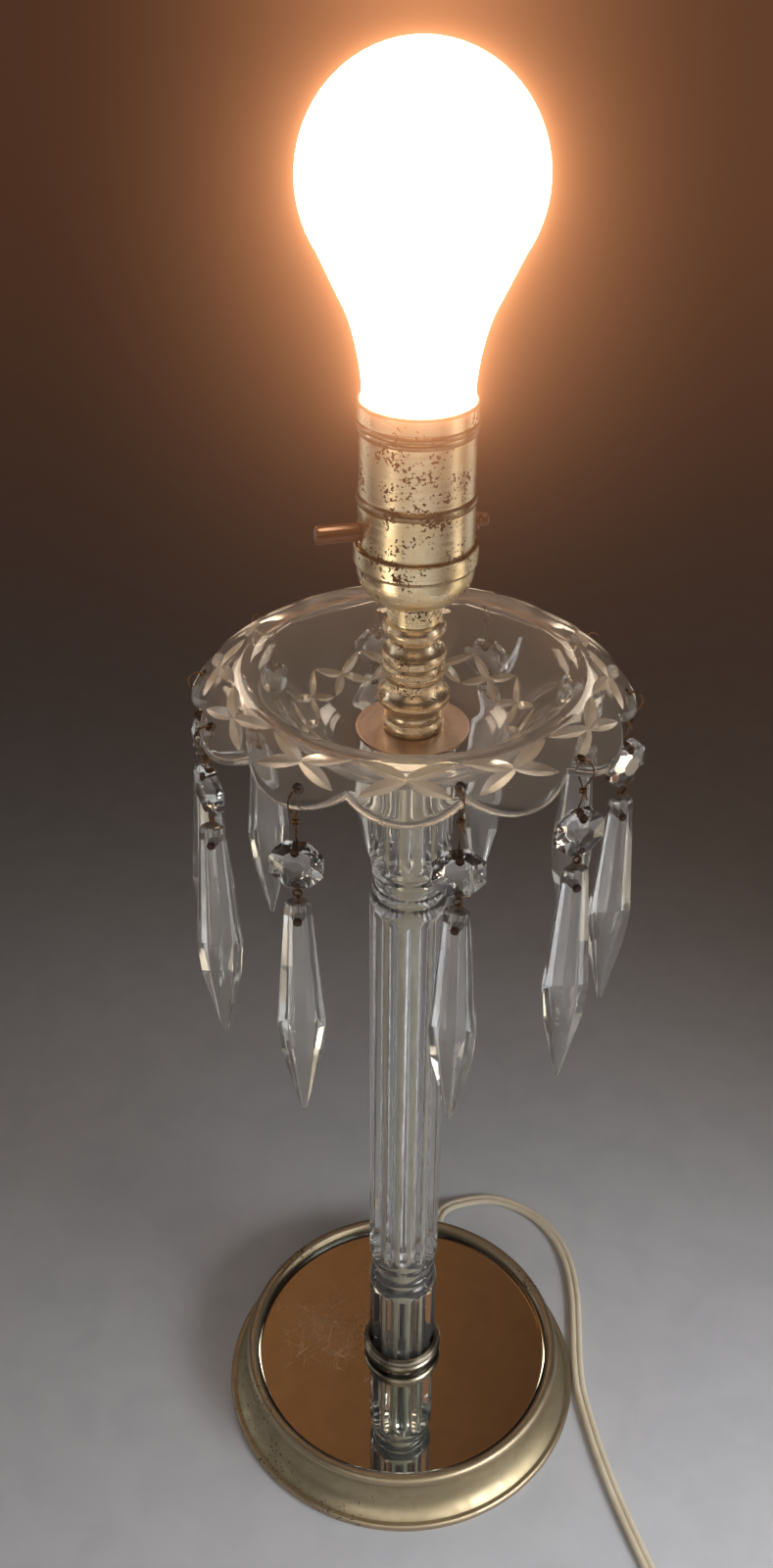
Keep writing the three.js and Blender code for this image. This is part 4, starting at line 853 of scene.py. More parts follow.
# %% Bushing
BUSHING_LENGTH, BUSHING_RADIUS, COVE_FOOT_RADIUS = 20, 3.4, 68
flange = COVE_FOOT_RADIUS + SEAT_GAP - (EXIT_RADIUS - BUSHING_LENGTH)
bore = CORD_WIDTH / 2 + 0.1
bushing_outline = (
    Outline(bore, 0)
    .line(BUSHING_RADIUS, 0)
    .line(BUSHING_RADIUS, flange)
    .line(BUSHING_RADIUS + 0.9, flange)
    .arc(BUSHING_RADIUS, BUSHING_LENGTH - 1.2, 0.3, 4)
    .line(BUSHING_RADIUS - 0.2, BUSHING_LENGTH)
    .line(bore, BUSHING_LENGTH)
)
cord_bushing = lathe("lead_bushing", bushing_outline, plug_ivory, 32, 0.2)
bushing_place = Matrix.Translation(along_exit(EXIT_RADIUS - BUSHING_LENGTH, EXIT_HEIGHT) * MM)
bushing_turn = outwards(EXIT_ANGLE).to_track_quat("Z", "Y").to_matrix().to_4x4()
cord_bushing.data.transform(bushing_place @ bushing_turn)
hand_over(cord_bushing, "stand", "plug", "cord_bushing")

# %% Tie
TIE_WIDTH, TIE_TOP, TIE_FOOT, TIE_WALL = 6, 6.7, 0.3, 0.6
# Half of the strip's arch over the turns: how far in from its side, and how high
TIE_OUTER = [(0, TIE_FOOT), (0, 4.6), (0.5, 6.1), (2, TIE_TOP)]
TIE_INNER = [(TIE_WALL, TIE_FOOT), (TIE_WALL, 4.4), (1, 5.6), (2.2, TIE_TOP - TIE_WALL)]
tie_low, tie_high = coil_outer - 3.5 * COIL_PITCH - 3.6, coil_outer - 0.5 * COIL_PITCH + 3.4


def arch(half):
    """The whole line over the turns, from its half."""
    rising = [(tie_low + inset, height) for inset, height in half]
    return rising + [(tie_high - inset, height) for inset, height in reversed(half)]


tie_section = arch(TIE_OUTER) + list(reversed(arch(TIE_INNER)))
tie_turn = math.radians(COIL_START - 180)
across_tie = Vector((-math.sin(tie_turn), math.cos(tie_turn), 0))
tie_route = [COIL_CENTRE + across_tie * side for side in (-TIE_WIDTH / 2, TIE_WIDTH / 2)]
coil_tie = sweep("coil_tie", tie_route, tie_section, plug_ivory, 35)
hand_over(coil_tie, "stand", "plug")

hand_over(power_cord, "stand", "cord", "power_cord", "cord_coil")

# %% [markdown]
# ## Base
# The base is a spun metal cover over a cast weight: a foot bead, a hollow cove, and a rim rolled over the
# edge of a round mirror. The mirror is a slab of glass with silver behind it, so its edge looks green and
# what stands on it is reflected a little below itself. One metal disc would be simpler, but loses both.

# %% Base cover
FOOT_RADIUS, FOOT_BEAD_HEIGHT, COVE_TOP_RADIUS, COVE_HOLLOW = 70.4, 3.2, 61.6, 2.2
RIM_RADIUS, RIM_CREST_HEIGHT, COVER_WALL = 63.3, 21.5, 1.2
WEIGHT_HEIGHT, MIRROR_RADIUS, MIRROR_TOP = 15.8, 58.3, 19
COVER_MOUTH, COVER_EDGE = 58.7, 14.5
cover_outline = (
    Outline(COVE_FOOT_RADIUS - COVER_WALL, 0)
    .line(FOOT_RADIUS - 0.9, 0)
    .arc(FOOT_RADIUS - 1, FOOT_BEAD_HEIGHT - 0.1, 0.9)
    .line(COVE_FOOT_RADIUS, FOOT_BEAD_HEIGHT)
    .arc(COVE_TOP_RADIUS, RIM_CREST_HEIGHT - 4.5, -COVE_HOLLOW, 14)
    .arc(RIM_RADIUS - 1.9, RIM_CREST_HEIGHT, 1.7, 12)
    .arc(COVER_MOUTH, RIM_CREST_HEIGHT - 2.4, 1.1, 6)
    .line(COVER_MOUTH, COVER_EDGE)
    .line(COVER_MOUTH + COVER_WALL, COVER_EDGE)
    .line(COVER_MOUTH + COVER_WALL, RIM_CREST_HEIGHT - 4.5)
    .line(COVE_TOP_RADIUS - COVER_WALL, RIM_CREST_HEIGHT - 5)
    .arc(COVE_FOOT_RADIUS - COVER_WALL, FOOT_BEAD_HEIGHT, COVE_HOLLOW, 8)
)
base_cover = lathe("base_cover", cover_outline, plated_base, 144)
drill_from, drill_to = (along_exit(reach, EXIT_HEIGHT) for reach in (COVE_TOP_RADIUS - 8, 80))
exit_hole = rod("hole", BUSHING_RADIUS + SEAT_GAP, drill_from, drill_to)
hand_over(subtract(base_cover, exit_hole), "stand", "plated_base", "base_shell")

# %% Mirror
PIPE_BORE, FILM, MIRROR_CHAMFER = 5.2, 0.3, 0.7
silver_edge, silver_top = MIRROR_RADIUS - 0.4, WEIGHT_HEIGHT + FILM
slab_foot = silver_top + 0.02
silver_outline = (
    Outline(PIPE_BORE, WEIGHT_HEIGHT)
    .line(silver_edge, WEIGHT_HEIGHT)
    .line(silver_edge, silver_top)
    .line(PIPE_BORE, silver_top)
)
slab_outline = (
    Outline(PIPE_BORE, slab_foot)
    .line(MIRROR_RADIUS, slab_foot)
    .line(MIRROR_RADIUS, MIRROR_TOP - MIRROR_CHAMFER)
    .line(MIRROR_RADIUS - MIRROR_CHAMFER, MIRROR_TOP)
    .line(PIPE_BORE, MIRROR_TOP)
)
silver = lathe("silver", silver_outline, mirror_silver, 144, 0.05)
slab = lathe("slab", slab_outline, mirror_glass, 144, 0.05)
hand_over(crisp(joined("base_mirror", silver, slab), 20), "stand", "mirror", "mirror_plate")
dress("base_weight", cast_iron)

# %% Collar
COLUMN_RADIUS, COLLAR_RADIUS, COLLAR_HEIGHT = 13, 15.4, 7
inside, top = COLUMN_RADIUS + SEAT_GAP, MIRROR_TOP + COLLAR_HEIGHT
collar_outline = (
    Outline(inside, MIRROR_TOP)
    .line(COLLAR_RADIUS - 0.3, MIRROR_TOP)
    .arc(COLLAR_RADIUS - 0.2, top - 2.6, 0.5)
    .line(inside + 1, top - 1.6)
    .arc(inside + 0.7, top, 0.25, 4)
    .line(inside, top)
)
hand_over(lathe("foot_collar", collar_outline, dark_nickel, 72), "stand", "dark_nickel", "column_collar")

# %% [markdown]
# ## Column
# The column is pressed glass: three fluted lengths with two turned necks between them. Its flutes follow a
# rule, so Geometry Nodes press them into a plain turned blank. Each point moves in along the radius by the
# flute's depth times the sine of its place round the flute, which leaves a sharp arris between two hollows.
# The bulb's thread is rolled in the same way later on, so one function builds the tree for both.

# %% Geometry Nodes helpers
def start_tree(name, inputs):
    """Starts a tree with geometry in and out, its named inputs, and the material that it gives."""
    sockets = [("Geometry", "Geometry", None), *inputs, ("Material", "Material", None)]
    return start_group(name, "GeometryNodeTree", sockets, [("Geometry", "Geometry")])


def end_tree(tree, source, result, geometry):
    """Closes a tree: instances become real, and the result takes its material."""
    real = add_node(tree, "GeometryNodeRealizeInstances", {"Geometry": geometry}).outputs[0]
    sockets = {"Geometry": real, "Material": source.outputs["Material"]}
    finished = add_node(tree, "GeometryNodeSetMaterial", sockets).outputs[0]
    tree.links.new(finished, result.inputs["Geometry"])
    return tree


def run_tree(carrier, tree, values):
    """Runs a tree on a carrier, with its inputs by name, and leaves the result as its plain mesh."""
    inputs = [item for item in tree.interface.items_tree if item.in_out == "INPUT"]
    identifiers = {item.name: item.identifier for item in inputs}
    modifier = carrier.modifiers.new(tree.name, "NODES")
    modifier.node_group = tree
    for label, value in values.items():
        modifier[identifiers[label]] = value
    return applied(carrier, modifier)


def wall_tree(name, mask, size_input, wave_of):
    """A tree that moves a wall in by a wave times a depth, where the points' mask attribute is 1."""
    tree, source, result = start_tree(name, [size_input, ("Depth", "Float", 0.001)])
    parts, flat = split_place(tree, add_node(tree, "GeometryNodeInputPosition").outputs[0])
    turn = math_node(tree, "ARCTAN2", parts[1], parts[0])
    wave = wave_of(tree, source, turn, parts[2])
    named = add_node(tree, "GeometryNodeInputNamedAttribute", {"Name": mask}, data_type="FLOAT")
    masked = math_node(tree, "MULTIPLY", wave, named.outputs["Attribute"])
    amount = math_node(tree, "MULTIPLY", masked, source.outputs["Depth"])
    outward = vector_node(tree, "NORMALIZE", {0: flat})
    move = vector_node(tree, "SCALE", {0: outward, 3: amount})
    sockets = {"Geometry": source.outputs["Geometry"], "Offset": move}
    moved = add_node(tree, "GeometryNodeSetPosition", sockets).outputs[0]
    return end_tree(tree, source, result, moved)


def mark(piece, attribute, share_of):
    """Stores a number on each point, worked out from the point's place in millimetres."""
    shares = [share_of(*(c / MM for c in vertex.co)) for vertex in piece.data.vertices]
    piece.data.attributes.new(attribute, "FLOAT", "POINT").data.foreach_set("value", shares)
    print(piece.name, attribute, round(sum(shares)), "of", len(shares), "points")

# %% Fluting tree
def flute_wave(tree, source, turn, height):
    """0 on each sharp arris, and -1 in the middle of each hollow."""
    half_turns = math_node(tree, "MULTIPLY", source.outputs["Flutes"], 0.5)
    sine = math_node(tree, "SINE", math_node(tree, "MULTIPLY", turn, half_turns))
    return math_node(tree, "MULTIPLY", math_node(tree, "ABSOLUTE", sine), -1)


fluting = wall_tree("pressed_flutes", "fluted", ("Flutes", "Int", 12), flute_wave)
print("fluting nodes:", len(fluting.nodes))

# %% Column blank
FLUTES, FLUTE_DEPTH, FLUTE_RUN_OUT, NECK_LENGTH, NECK_GROOVE = 12, 1.3, 3, 18.5, 11.1
LOWER_LENGTH, MAIN_LENGTH, UPPER_LENGTH = 43, 169.5, 43
lower_end = MIRROR_TOP + LOWER_LENGTH
main_foot = lower_end + NECK_LENGTH
main_end = main_foot + MAIN_LENGTH
upper_foot = main_end + NECK_LENGTH
COLUMN_TOP = upper_foot + UPPER_LENGTH
NECKS = [(lower_end, main_foot), (main_end, upper_foot)]


def neck_outline(outline, foot):
    """Two beads between three grooves, as on a turned neck."""
    def at(share):
        return foot + share * NECK_LENGTH

    return (
        outline.arc(NECK_GROOVE + 0.5, at(0.19), 0.5, 5)
        .arc(NECK_GROOVE + 0.4, at(0.24), -0.25, 3)
        .arc(NECK_GROOVE + 0.3, at(0.42), 0.85, 8)
        .arc(NECK_GROOVE + 0.3, at(0.58), -0.35, 4)
        .arc(NECK_GROOVE + 0.4, at(0.76), 0.85, 8)
        .arc(NECK_GROOVE + 0.5, at(0.81), -0.25, 3)
        .arc(COLUMN_RADIUS, at(1), 0.5, 5)
    )


column_outline = Outline(PIPE_BORE, MIRROR_TOP).line(COLUMN_RADIUS, MIRROR_TOP)
for foot, top in NECKS:
    column_outline.line(COLUMN_RADIUS, foot - FLUTE_RUN_OUT).line(COLUMN_RADIUS, foot)
    neck_outline(column_outline, foot).line(COLUMN_RADIUS, top + FLUTE_RUN_OUT)
column_outline.line(COLUMN_RADIUS, COLUMN_TOP).line(PIPE_BORE, COLUMN_TOP)
column = lathe("fluted_column", column_outline, pressed_glass, 192, 0.2)
print("column blank:", len(column.data.polygons), "faces")

# %% Press the flutes
def fluted_share(x, y, z):
    """1 on the fluted lengths, 0 in the necks and in the bore, and less where the flutes run out."""
    if math.hypot(x, y) < COLUMN_RADIUS - 3 or any(low < z < high for low, high in NECKS):
        return 0.0
    nearest = min(abs(z - end) for neck in NECKS for end in neck)
    return math.sqrt(min(1.0, nearest / FLUTE_RUN_OUT))


mark(column, "fluted", fluted_share)
run_tree(column, fluting, {"Flutes": FLUTES, "Depth": FLUTE_DEPTH * MM, "Material": pressed_glass})
hand_over(crisp(column, 35), "stand", "pressed_glass", "glass_column")

# %% Pipe
NECK_FOOT, STEM_LENGTH, CAP_COLLAR_LENGTH, CAP_WALL = 316.4, 36.4, 6.6, 0.8
CAP_FOOT = NECK_FOOT + STEM_LENGTH
CAP_BOWL_FOOT = CAP_FOOT + CAP_COLLAR_LENGTH
CAP_FLOOR = CAP_BOWL_FOOT + CAP_WALL
PIPE_INSIDE, PIPE_OUTSIDE, PIPE_FOOT, PIPE_TOP = 3.7, 4.8, 9.5, CAP_FLOOR - 0.5
pipe_outline = (
    Outline(PIPE_INSIDE, PIPE_FOOT)
    .line(PIPE_OUTSIDE, PIPE_FOOT)
    .line(PIPE_OUTSIDE, PIPE_TOP)
    .line(PIPE_INSIDE, PIPE_TOP)
)
column_pipe = lathe("column_pipe", pipe_outline, lacquered_pipe, 48, 0.15)
hand_over(column_pipe, "stand", "lacquered_pipe", "lamp_pipe")
dress("inner_lead", cord_ivory)

# %% [markdown]
# ## Drip dish
# The dish is pressed glass with cut decoration: a flat floor, a bowl, a rounded crest and a flange that
# droops to twelve scallops. A grid wrapped round the axis gives it, with each ring's radius taken from the
# scalloped edge. Crosses of leaf-shaped mitre cuts are then ground in: one cutter follows the surface, a
# Geometry Nodes tree repeats it round the axis, and a boolean grinds all twelve at once and frosts them.

# %% Dish shape
DISH_FLOOR, FLOOR_RADIUS, CREST_RADIUS, CREST_RISE, BOWL_BIAS = 315.5, 20, 50, 21.9, 1.35
FLANGE_DROOP, FLANGE_CURVE, FLOOR_THICKNESS, FLANGE_THICKNESS = 9.8, 1.7, 4, 3.2
SCALLOPS, TIP_RADIUS, CUSP_RADIUS, FIRST_SCALLOP, ROUNDING = 12, 66.1, 61.6, -1.5, 0.8
EDGE_STEPS, SCALLOP_STEPS = 12, 24


def smooth_share(value, low, high):
    share = min(1, max(0, (value - low) / (high - low)))
    return share * share * (3 - 2 * share)


def dish_top(radius):
    """Height of the dish's upper face at a distance from its axis."""
    if radius <= FLOOR_RADIUS:
        return DISH_FLOOR
    if radius <= CREST_RADIUS:
        share = ((radius - FLOOR_RADIUS) / (CREST_RADIUS - FLOOR_RADIUS)) ** BOWL_BIAS
        return DISH_FLOOR + CREST_RISE * smooth_share(share, 0, 1)
    share = (radius - CREST_RADIUS) / (TIP_RADIUS - CREST_RADIUS)
    return DISH_FLOOR + CREST_RISE - FLANGE_DROOP * share ** FLANGE_CURVE


def dish_thickness(radius):
    share = smooth_share(radius, FLOOR_RADIUS, CREST_RADIUS)
    return FLOOR_THICKNESS + (FLANGE_THICKNESS - FLOOR_THICKNESS) * share


def dish_edge(angle):
    """Distance of the scalloped edge from the axis: each scallop is an arc through its two cusps."""
    half = 180 / SCALLOPS
    away = math.radians((angle - FIRST_SCALLOP + half) % (2 * half) - half)
    half_chord = CUSP_RADIUS * math.sin(math.radians(half))
    rise = TIP_RADIUS - CUSP_RADIUS * math.cos(math.radians(half))
    bow = (half_chord ** 2 + rise ** 2) / (2 * rise)
    centre = TIP_RADIUS - bow
    return centre * math.cos(away) + math.sqrt(bow ** 2 - (centre * math.sin(away)) ** 2)


def dish_ring_places(edge):
    """Radius and height of each ring where the edge lies at a given distance, from the bore round."""
    flange_foot = CREST_RADIUS + 4
    inset = edge - ROUNDING
    under_floor = [PIPE_BORE, 12, 18]
    under_bowl = np.linspace(FLOOR_RADIUS, CREST_RADIUS, 19)
    under_crest = np.linspace(CREST_RADIUS, flange_foot, 4)[1:]
    under_flange = np.linspace(flange_foot, inset, 8)[1:]
    below = np.concatenate([under_floor, under_bowl, under_crest, under_flange])
    places = [(r, dish_top(r) - dish_thickness(r)) for r in below]
    half = dish_thickness(edge) / 2
    slope = (dish_top(edge) - dish_top(inset)) / ROUNDING
    for k in range(1, EDGE_STEPS):
        turn = math.pi * (k / EDGE_STEPS - 0.5)
        radius_here = inset + ROUNDING * math.cos(turn)
        middle = dish_top(inset) - half + slope * (radius_here - inset)
        places.append((radius_here, middle + half * math.sin(turn)))
    flange = np.linspace(inset, flange_foot, 9)[:-1]
    crest = np.linspace(flange_foot, CREST_RADIUS, 5)[:-1]
    bowl = np.linspace(CREST_RADIUS, FLOOR_RADIUS, 25)
    above = np.concatenate([flange, crest, bowl, [18.5, 12, PIPE_BORE]])
    return places + [(r, dish_top(r)) for r in above]

# %% Dish blank
around = SCALLOPS * SCALLOP_STEPS
dish_points, ring_count = [], len(dish_ring_places(TIP_RADIUS))
for k in range(around):
    angle = FIRST_SCALLOP + 180 / SCALLOPS + 360 * k / around
    for radius_here, height in dish_ring_places(dish_edge(angle)):
        dish_points.append(outwards(angle) * radius_here + Vector((0, 0, height)))
# The rings stand upright here, so each face is turned over to point outwards
dish_faces = [(a, d, c, b) for a, b, c, d in tube_faces(around, ring_count, closed=True)]
dish = make_mesh("drip_dish", dish_points, dish_faces, [dish_glass])
print("dish blank:", len(dish.data.polygons), "faces")

# %% Ring tree
inputs = [("Pattern", "Object", None), ("Count", "Int", 12), ("First Angle", "Float", 0)]
ring_tree, source, result = start_tree("ring_of_copies", inputs)
pattern = add_node(ring_tree, "GeometryNodeObjectInfo", {"Object": source.outputs["Pattern"]})
points = add_node(ring_tree, "GeometryNodePoints", {"Count": source.outputs["Count"]}).outputs[0]
number = add_node(ring_tree, "GeometryNodeInputIndex").outputs[0]
step = math_node(ring_tree, "DIVIDE", 2 * math.pi, source.outputs["Count"])
turned = math_node(ring_tree, "MULTIPLY", number, step)
turn = math_node(ring_tree, "ADD", turned, source.outputs["First Angle"])
facing = add_node(ring_tree, "ShaderNodeCombineXYZ", {0: 0.0, 1: 0.0, 2: turn}).outputs[0]
sockets = {"Points": points, "Instance": pattern.outputs["Geometry"], "Rotation": facing}
copies = add_node(ring_tree, "GeometryNodeInstanceOnPoints", sockets).outputs[0]
end_tree(ring_tree, source, result, copies)


def ring_of(name, pattern_piece, count, first_angle, material):
    """Copies of one piece, evenly round the axis, as a single mesh; the pattern itself goes away."""
    carrier = make_mesh(name, [], [], [])
    values = {"Pattern": pattern_piece, "Count": count, "Material": material}
    values["First Angle"] = math.radians(first_angle)
    run_tree(carrier, ring_tree, values)
    bpy.data.objects.remove(pattern_piece)
    return carrier

# %% Mitre cutter
LEAF_OVERLAP = 0.13
# Each cross: its centre and the tips of its arms, as distances from the axis and angles, then the
# width and the depth of its cuts
CROSSES = [
    ((57.3, 0), [(53, 14.5), (53, -14.5), (61.8, 11.8), (61.8, -11.8)], 4.7, 1.0),
    ((32.3, 15), [(36, 30), (36, 0), (28, 30), (28, 0)], 3, 0.8),
]


def surface_normal(radius, direction, step=0.05):
    """The dish's upward normal at a distance from its axis."""
    slope = (dish_top(radius + step) - dish_top(radius - step)) / (2 * step)
    return Vector((-slope * direction.x, -slope * direction.y, 1)).normalized()


def leaf_cutter(start, end, width, depth, lift=1.2, stations=13):
    """A wedge that follows the dish's upper face between two places, widest in its middle."""
    start, end = (outwards(angle) * radius for radius, angle in (start, end))
    start = start.lerp(end, -LEAF_OVERLAP)
    line = (end - start).normalized()
    lean = (width / 2) / depth
    points = []
    for k in range(stations):
        share = k / (stations - 1)
        plan = start.lerp(end, share)
        normal = surface_normal(plan.length, plan.normalized())
        seat = Vector((plan.x, plan.y, dish_top(plan.length)))
        across = normal.cross(line).normalized()
        deep = depth * math.sin(math.pi * share) ** 0.85 - 0.03
        half = (lift + deep) * lean
        over = seat + normal * lift
        points += [seat - normal * deep, over + across * half, over - across * half]
    caps = [(0, 1, 2), tuple(range(len(points) - 3, len(points)))]
    return face_outwards(make_mesh("leaf", points, tube_faces(stations, 3) + caps, [], smooth=False))


for middle, tips, width, depth in CROSSES:
    for tip in tips:
        leaf = leaf_cutter(middle, tip, width, depth)
        subtract(dish, ring_of("leaves", leaf, SCALLOPS, FIRST_SCALLOP, mitre_cut), mitre_cut)
print("dish with its cuts:", len(dish.data.polygons), "faces")

# %% Dish holes
WIRE, HOOK_RADIUS, HOOK_EDGE_GAP, DISH_HOLE_RADIUS, DRILL_REACH = 0.9, 3.1, 0.5, 1.4, 4
FLANGE_RUN = 6
pendant_joints = [joints[f"pendant_swing_{k:02d}"] for k in range(1, 11)]


def pendant_frame(joint):
    """Places a pendant: its x runs outwards, its z up, from the hook's ring centre, in millimetres."""
    centre = Vector(joint["pos_m"]) / MM
    outward = Vector((centre.x, centre.y, 0)).normalized()
    sideways = Vector((0, 0, 1)).cross(outward)
    return Matrix.Translation(centre) @ Matrix((outward, sideways, (0, 0, 1))).transposed().to_4x4()


def dish_middle(radius):
    return dish_top(radius) - dish_thickness(radius) / 2


for joint in pendant_joints:
    seat = pendant_frame(joint)
    centre = seat.translation
    reach = math.hypot(centre.x, centre.y)
    edge = reach + HOOK_RADIUS - HOOK_EDGE_GAP - WIRE / 2
    slope = math.atan2(dish_middle(edge - FLANGE_RUN) - dish_middle(edge), FLANGE_RUN)
    hole = Vector((-math.cos(slope), 0, math.sin(slope))) * HOOK_RADIUS
    through = Vector((math.sin(slope), 0, math.cos(slope))) * DRILL_REACH
    drill = rod("drill", DISH_HOLE_RADIUS, seat @ (hole - through), seat @ (hole + through), 20)
    subtract(dish, drill, hole_grime)
crisp(dish, 18)
hand_over(dish, "stand", "cut_glass", "glass_dish")

# %% [markdown]
# ## Neck and socket
# A copper-coloured washer, a turned neck and the socket's cap stack up on the pipe. All of them are turned
# shapes, so each is one outline. The socket's shell has a bead half way up and a ringed mouth, and its foot
# drops into the cap's skirt, where a dark seam shows.

# %% Washer
WASHER_RADIUS = 17.4
washer_outline = (
    Outline(PIPE_BORE, DISH_FLOOR)
    .line(WASHER_RADIUS, DISH_FLOOR)
    .line(WASHER_RADIUS - 0.2, NECK_FOOT)
    .line(PIPE_BORE, NECK_FOOT)
)
hand_over(lathe("floor_washer", washer_outline, copper, 72, 0.2), "stand", "copper", "dish_washer")

# %% Turned neck
def rise(height):
    return NECK_FOOT + height


neck_turning = (
    Outline(PIPE_BORE, NECK_FOOT)
    .line(8.9, NECK_FOOT)
    .arc(8.4, rise(4), 0.5, 6)
    .line(8.6, rise(5.4))
    .arc(9.3, rise(8.6), -0.3, 6)
    .arc(10.6, rise(9.6), 0.2, 4)
    .arc(10.4, rise(12.6), 0.55, 8)
    .arc(8.2, rise(17.4), -0.6, 8)
    .arc(9.1, rise(20), 0.5, 7)
    .arc(8.9, rise(23), 0.4, 7)
    .arc(9.1, rise(26.6), 0.5, 7)
    .arc(6.95, rise(30), -0.4, 7)
    .line(8.2, rise(31.4))
    .arc(8.6, rise(35.9), 0.9, 9)
    .line(7.85, CAP_FOOT)
    .line(PIPE_BORE, CAP_FOOT)
)
hand_over(lathe("turned_stem", neck_turning, plated_neck, 72, 0.2), "stand", "plated_neck", "turned_neck")

# %% Socket cap
BOWL_HEIGHT, LEDGE_HEIGHT, SKIRT_HEIGHT, SHELL_HEIGHT = 11.2, 1.2, 5.1, 41.3
SKIRT_RADIUS, BOWL_RADIUS, BOWL_SWELL = 17.6, 16.65, 2.6
CAP_LEDGE = CAP_BOWL_FOOT + BOWL_HEIGHT
SKIRT_FOOT = CAP_LEDGE + LEDGE_HEIGHT
CAP_TOP = SKIRT_FOOT + SKIRT_HEIGHT
SHELL_TOP = CAP_TOP + SHELL_HEIGHT
cap_outline = (
    Outline(PIPE_BORE, CAP_FOOT)
    .line(7.85, CAP_FOOT)
    .line(7.75, CAP_BOWL_FOOT - 1.6)
    .arc(8.75, CAP_BOWL_FOOT, -0.3, 4)
    .arc(BOWL_RADIUS, CAP_LEDGE, BOWL_SWELL, 16)
    .arc(SKIRT_RADIUS, SKIRT_FOOT, -0.25, 4)
    .line(SKIRT_RADIUS, CAP_TOP)
    .line(SKIRT_RADIUS - CAP_WALL, CAP_TOP)
    .line(SKIRT_RADIUS - CAP_WALL, SKIRT_FOOT)
    .line(BOWL_RADIUS - CAP_WALL, SKIRT_FOOT)
    .line(BOWL_RADIUS - CAP_WALL, CAP_LEDGE)
    .arc(9.05, CAP_FLOOR, -BOWL_SWELL, 10)
    .line(PIPE_BORE, CAP_FLOOR)
)
hand_over(lathe("socket_bowl", cap_outline, socket_brass, 96, 0.25), "stand", "socket_brass", "socket_cap")

# %% Socket shell
SHELL_RADIUS, SHELL_TOP_RADIUS, SHELL_WALL = 16.35, 15.9, 0.7
mouth_inside = SHELL_TOP_RADIUS - SHELL_WALL
bead_foot, thread_foot = SHELL_TOP - 28, SHELL_TOP - 9
shell_outline = (
    Outline(SHELL_RADIUS - SHELL_WALL, SKIRT_FOOT + SEAT_GAP)
    .line(SHELL_RADIUS, SKIRT_FOOT + SEAT_GAP)
    .line(SHELL_RADIUS, bead_foot - 1)
    .arc(SHELL_RADIUS - 0.3, bead_foot + 2, 0.7, 9)
    .line(SHELL_TOP_RADIUS, thread_foot)
    .arc(SHELL_TOP_RADIUS + 0.4, thread_foot + 2, 0.45, 7)
    .arc(SHELL_TOP_RADIUS + 0.5, thread_foot + 4, 0.55, 7)
    .line(SHELL_TOP_RADIUS + 0.35, SHELL_TOP - 1)
    .arc(mouth_inside + 0.3, SHELL_TOP - 0.2, 0.6, 6)
    .line(mouth_inside, thread_foot + 4)
    .line(mouth_inside, bead_foot + 2)
)
SWITCH_ANGLE, SWITCH_RADIUS, SWITCH_LEFT, SWITCH_RIGHT, SWITCH_TIP = 15, 2.6, 28.9, 20.8, 2.6
SWITCH_RISE, SWITCH_HOLE_REACH = 4.4, 30
switch_axis = Vector((math.cos(math.radians(SWITCH_ANGLE)), math.sin(math.radians(SWITCH_ANGLE)), 0))


def switch_at(reach):
    return switch_axis * reach + Vector((0, 0, CAP_TOP + SWITCH_RISE))


socket_shell = lathe("socket_sleeve", shell_outline, socket_brass, 96, 0.2)
hole_ends = [switch_at(-SWITCH_HOLE_REACH), switch_at(SWITCH_HOLE_REACH)]
switch_hole = rod("hole", SWITCH_RADIUS + 2 * SEAT_GAP, *hole_ends)
hand_over(subtract(socket_shell, switch_hole), "stand", "socket_brass", "socket_shell")
dress("socket_core", bakelite)

# %% Switch bar
bar_length = SWITCH_LEFT + SWITCH_RIGHT - SWITCH_TIP
bar_outline = (
    Outline(0, 0)
    .arc(SWITCH_RADIUS - 0.5, 0.25, 0.15, 4)
    .arc(SWITCH_RADIUS, 0.8, 0.12, 3)
    .line(SWITCH_RADIUS, bar_length - 0.4)
    .line(SWITCH_RADIUS - 0.4, bar_length)
    .line(SWITCH_RADIUS - 0.6, bar_length)
    .line(SWITCH_RADIUS - 0.6, bar_length + SWITCH_TIP - 0.6)
    .arc(0, bar_length + SWITCH_TIP, 0.3, 5)
)
switch_bar = lathe("push_switch", bar_outline, switch_brown, 40, 0.15)
lay_along = switch_axis.to_track_quat("Z", "Y").to_matrix().to_4x4()
switch_bar.data.transform(Matrix.Translation(switch_at(-SWITCH_LEFT) * MM) @ lay_along)
hand_over(switch_bar, "switch", "switch", "switch_bar")

# %% [markdown]
# ## Bulb
# The bulb is a common household one, lit, with a frosted envelope and a medium screw base. The envelope is a
# turned shape with a thin wall, and it lights the scene by its own emission. The thread is a helix, which a
# plain turned shape can't have, so Geometry Nodes push the base's wall in and out along a winding wave.

# %% Thread tree
def thread_wave(tree, source, turn, height):
    """A wave that winds once round the axis in each pitch, from 0 on the crests down to -2."""
    turns = math_node(tree, "DIVIDE", height, source.outputs["Pitch"])
    phase = math_node(tree, "SUBTRACT", math_node(tree, "MULTIPLY", turns, 2 * math.pi), turn)
    return math_node(tree, "SUBTRACT", math_node(tree, "COSINE", phase), 1)


threading = wall_tree("rolled_thread", "threaded", ("Pitch", "Float", 0.0036), thread_wave)
print("threading nodes:", len(threading.nodes))

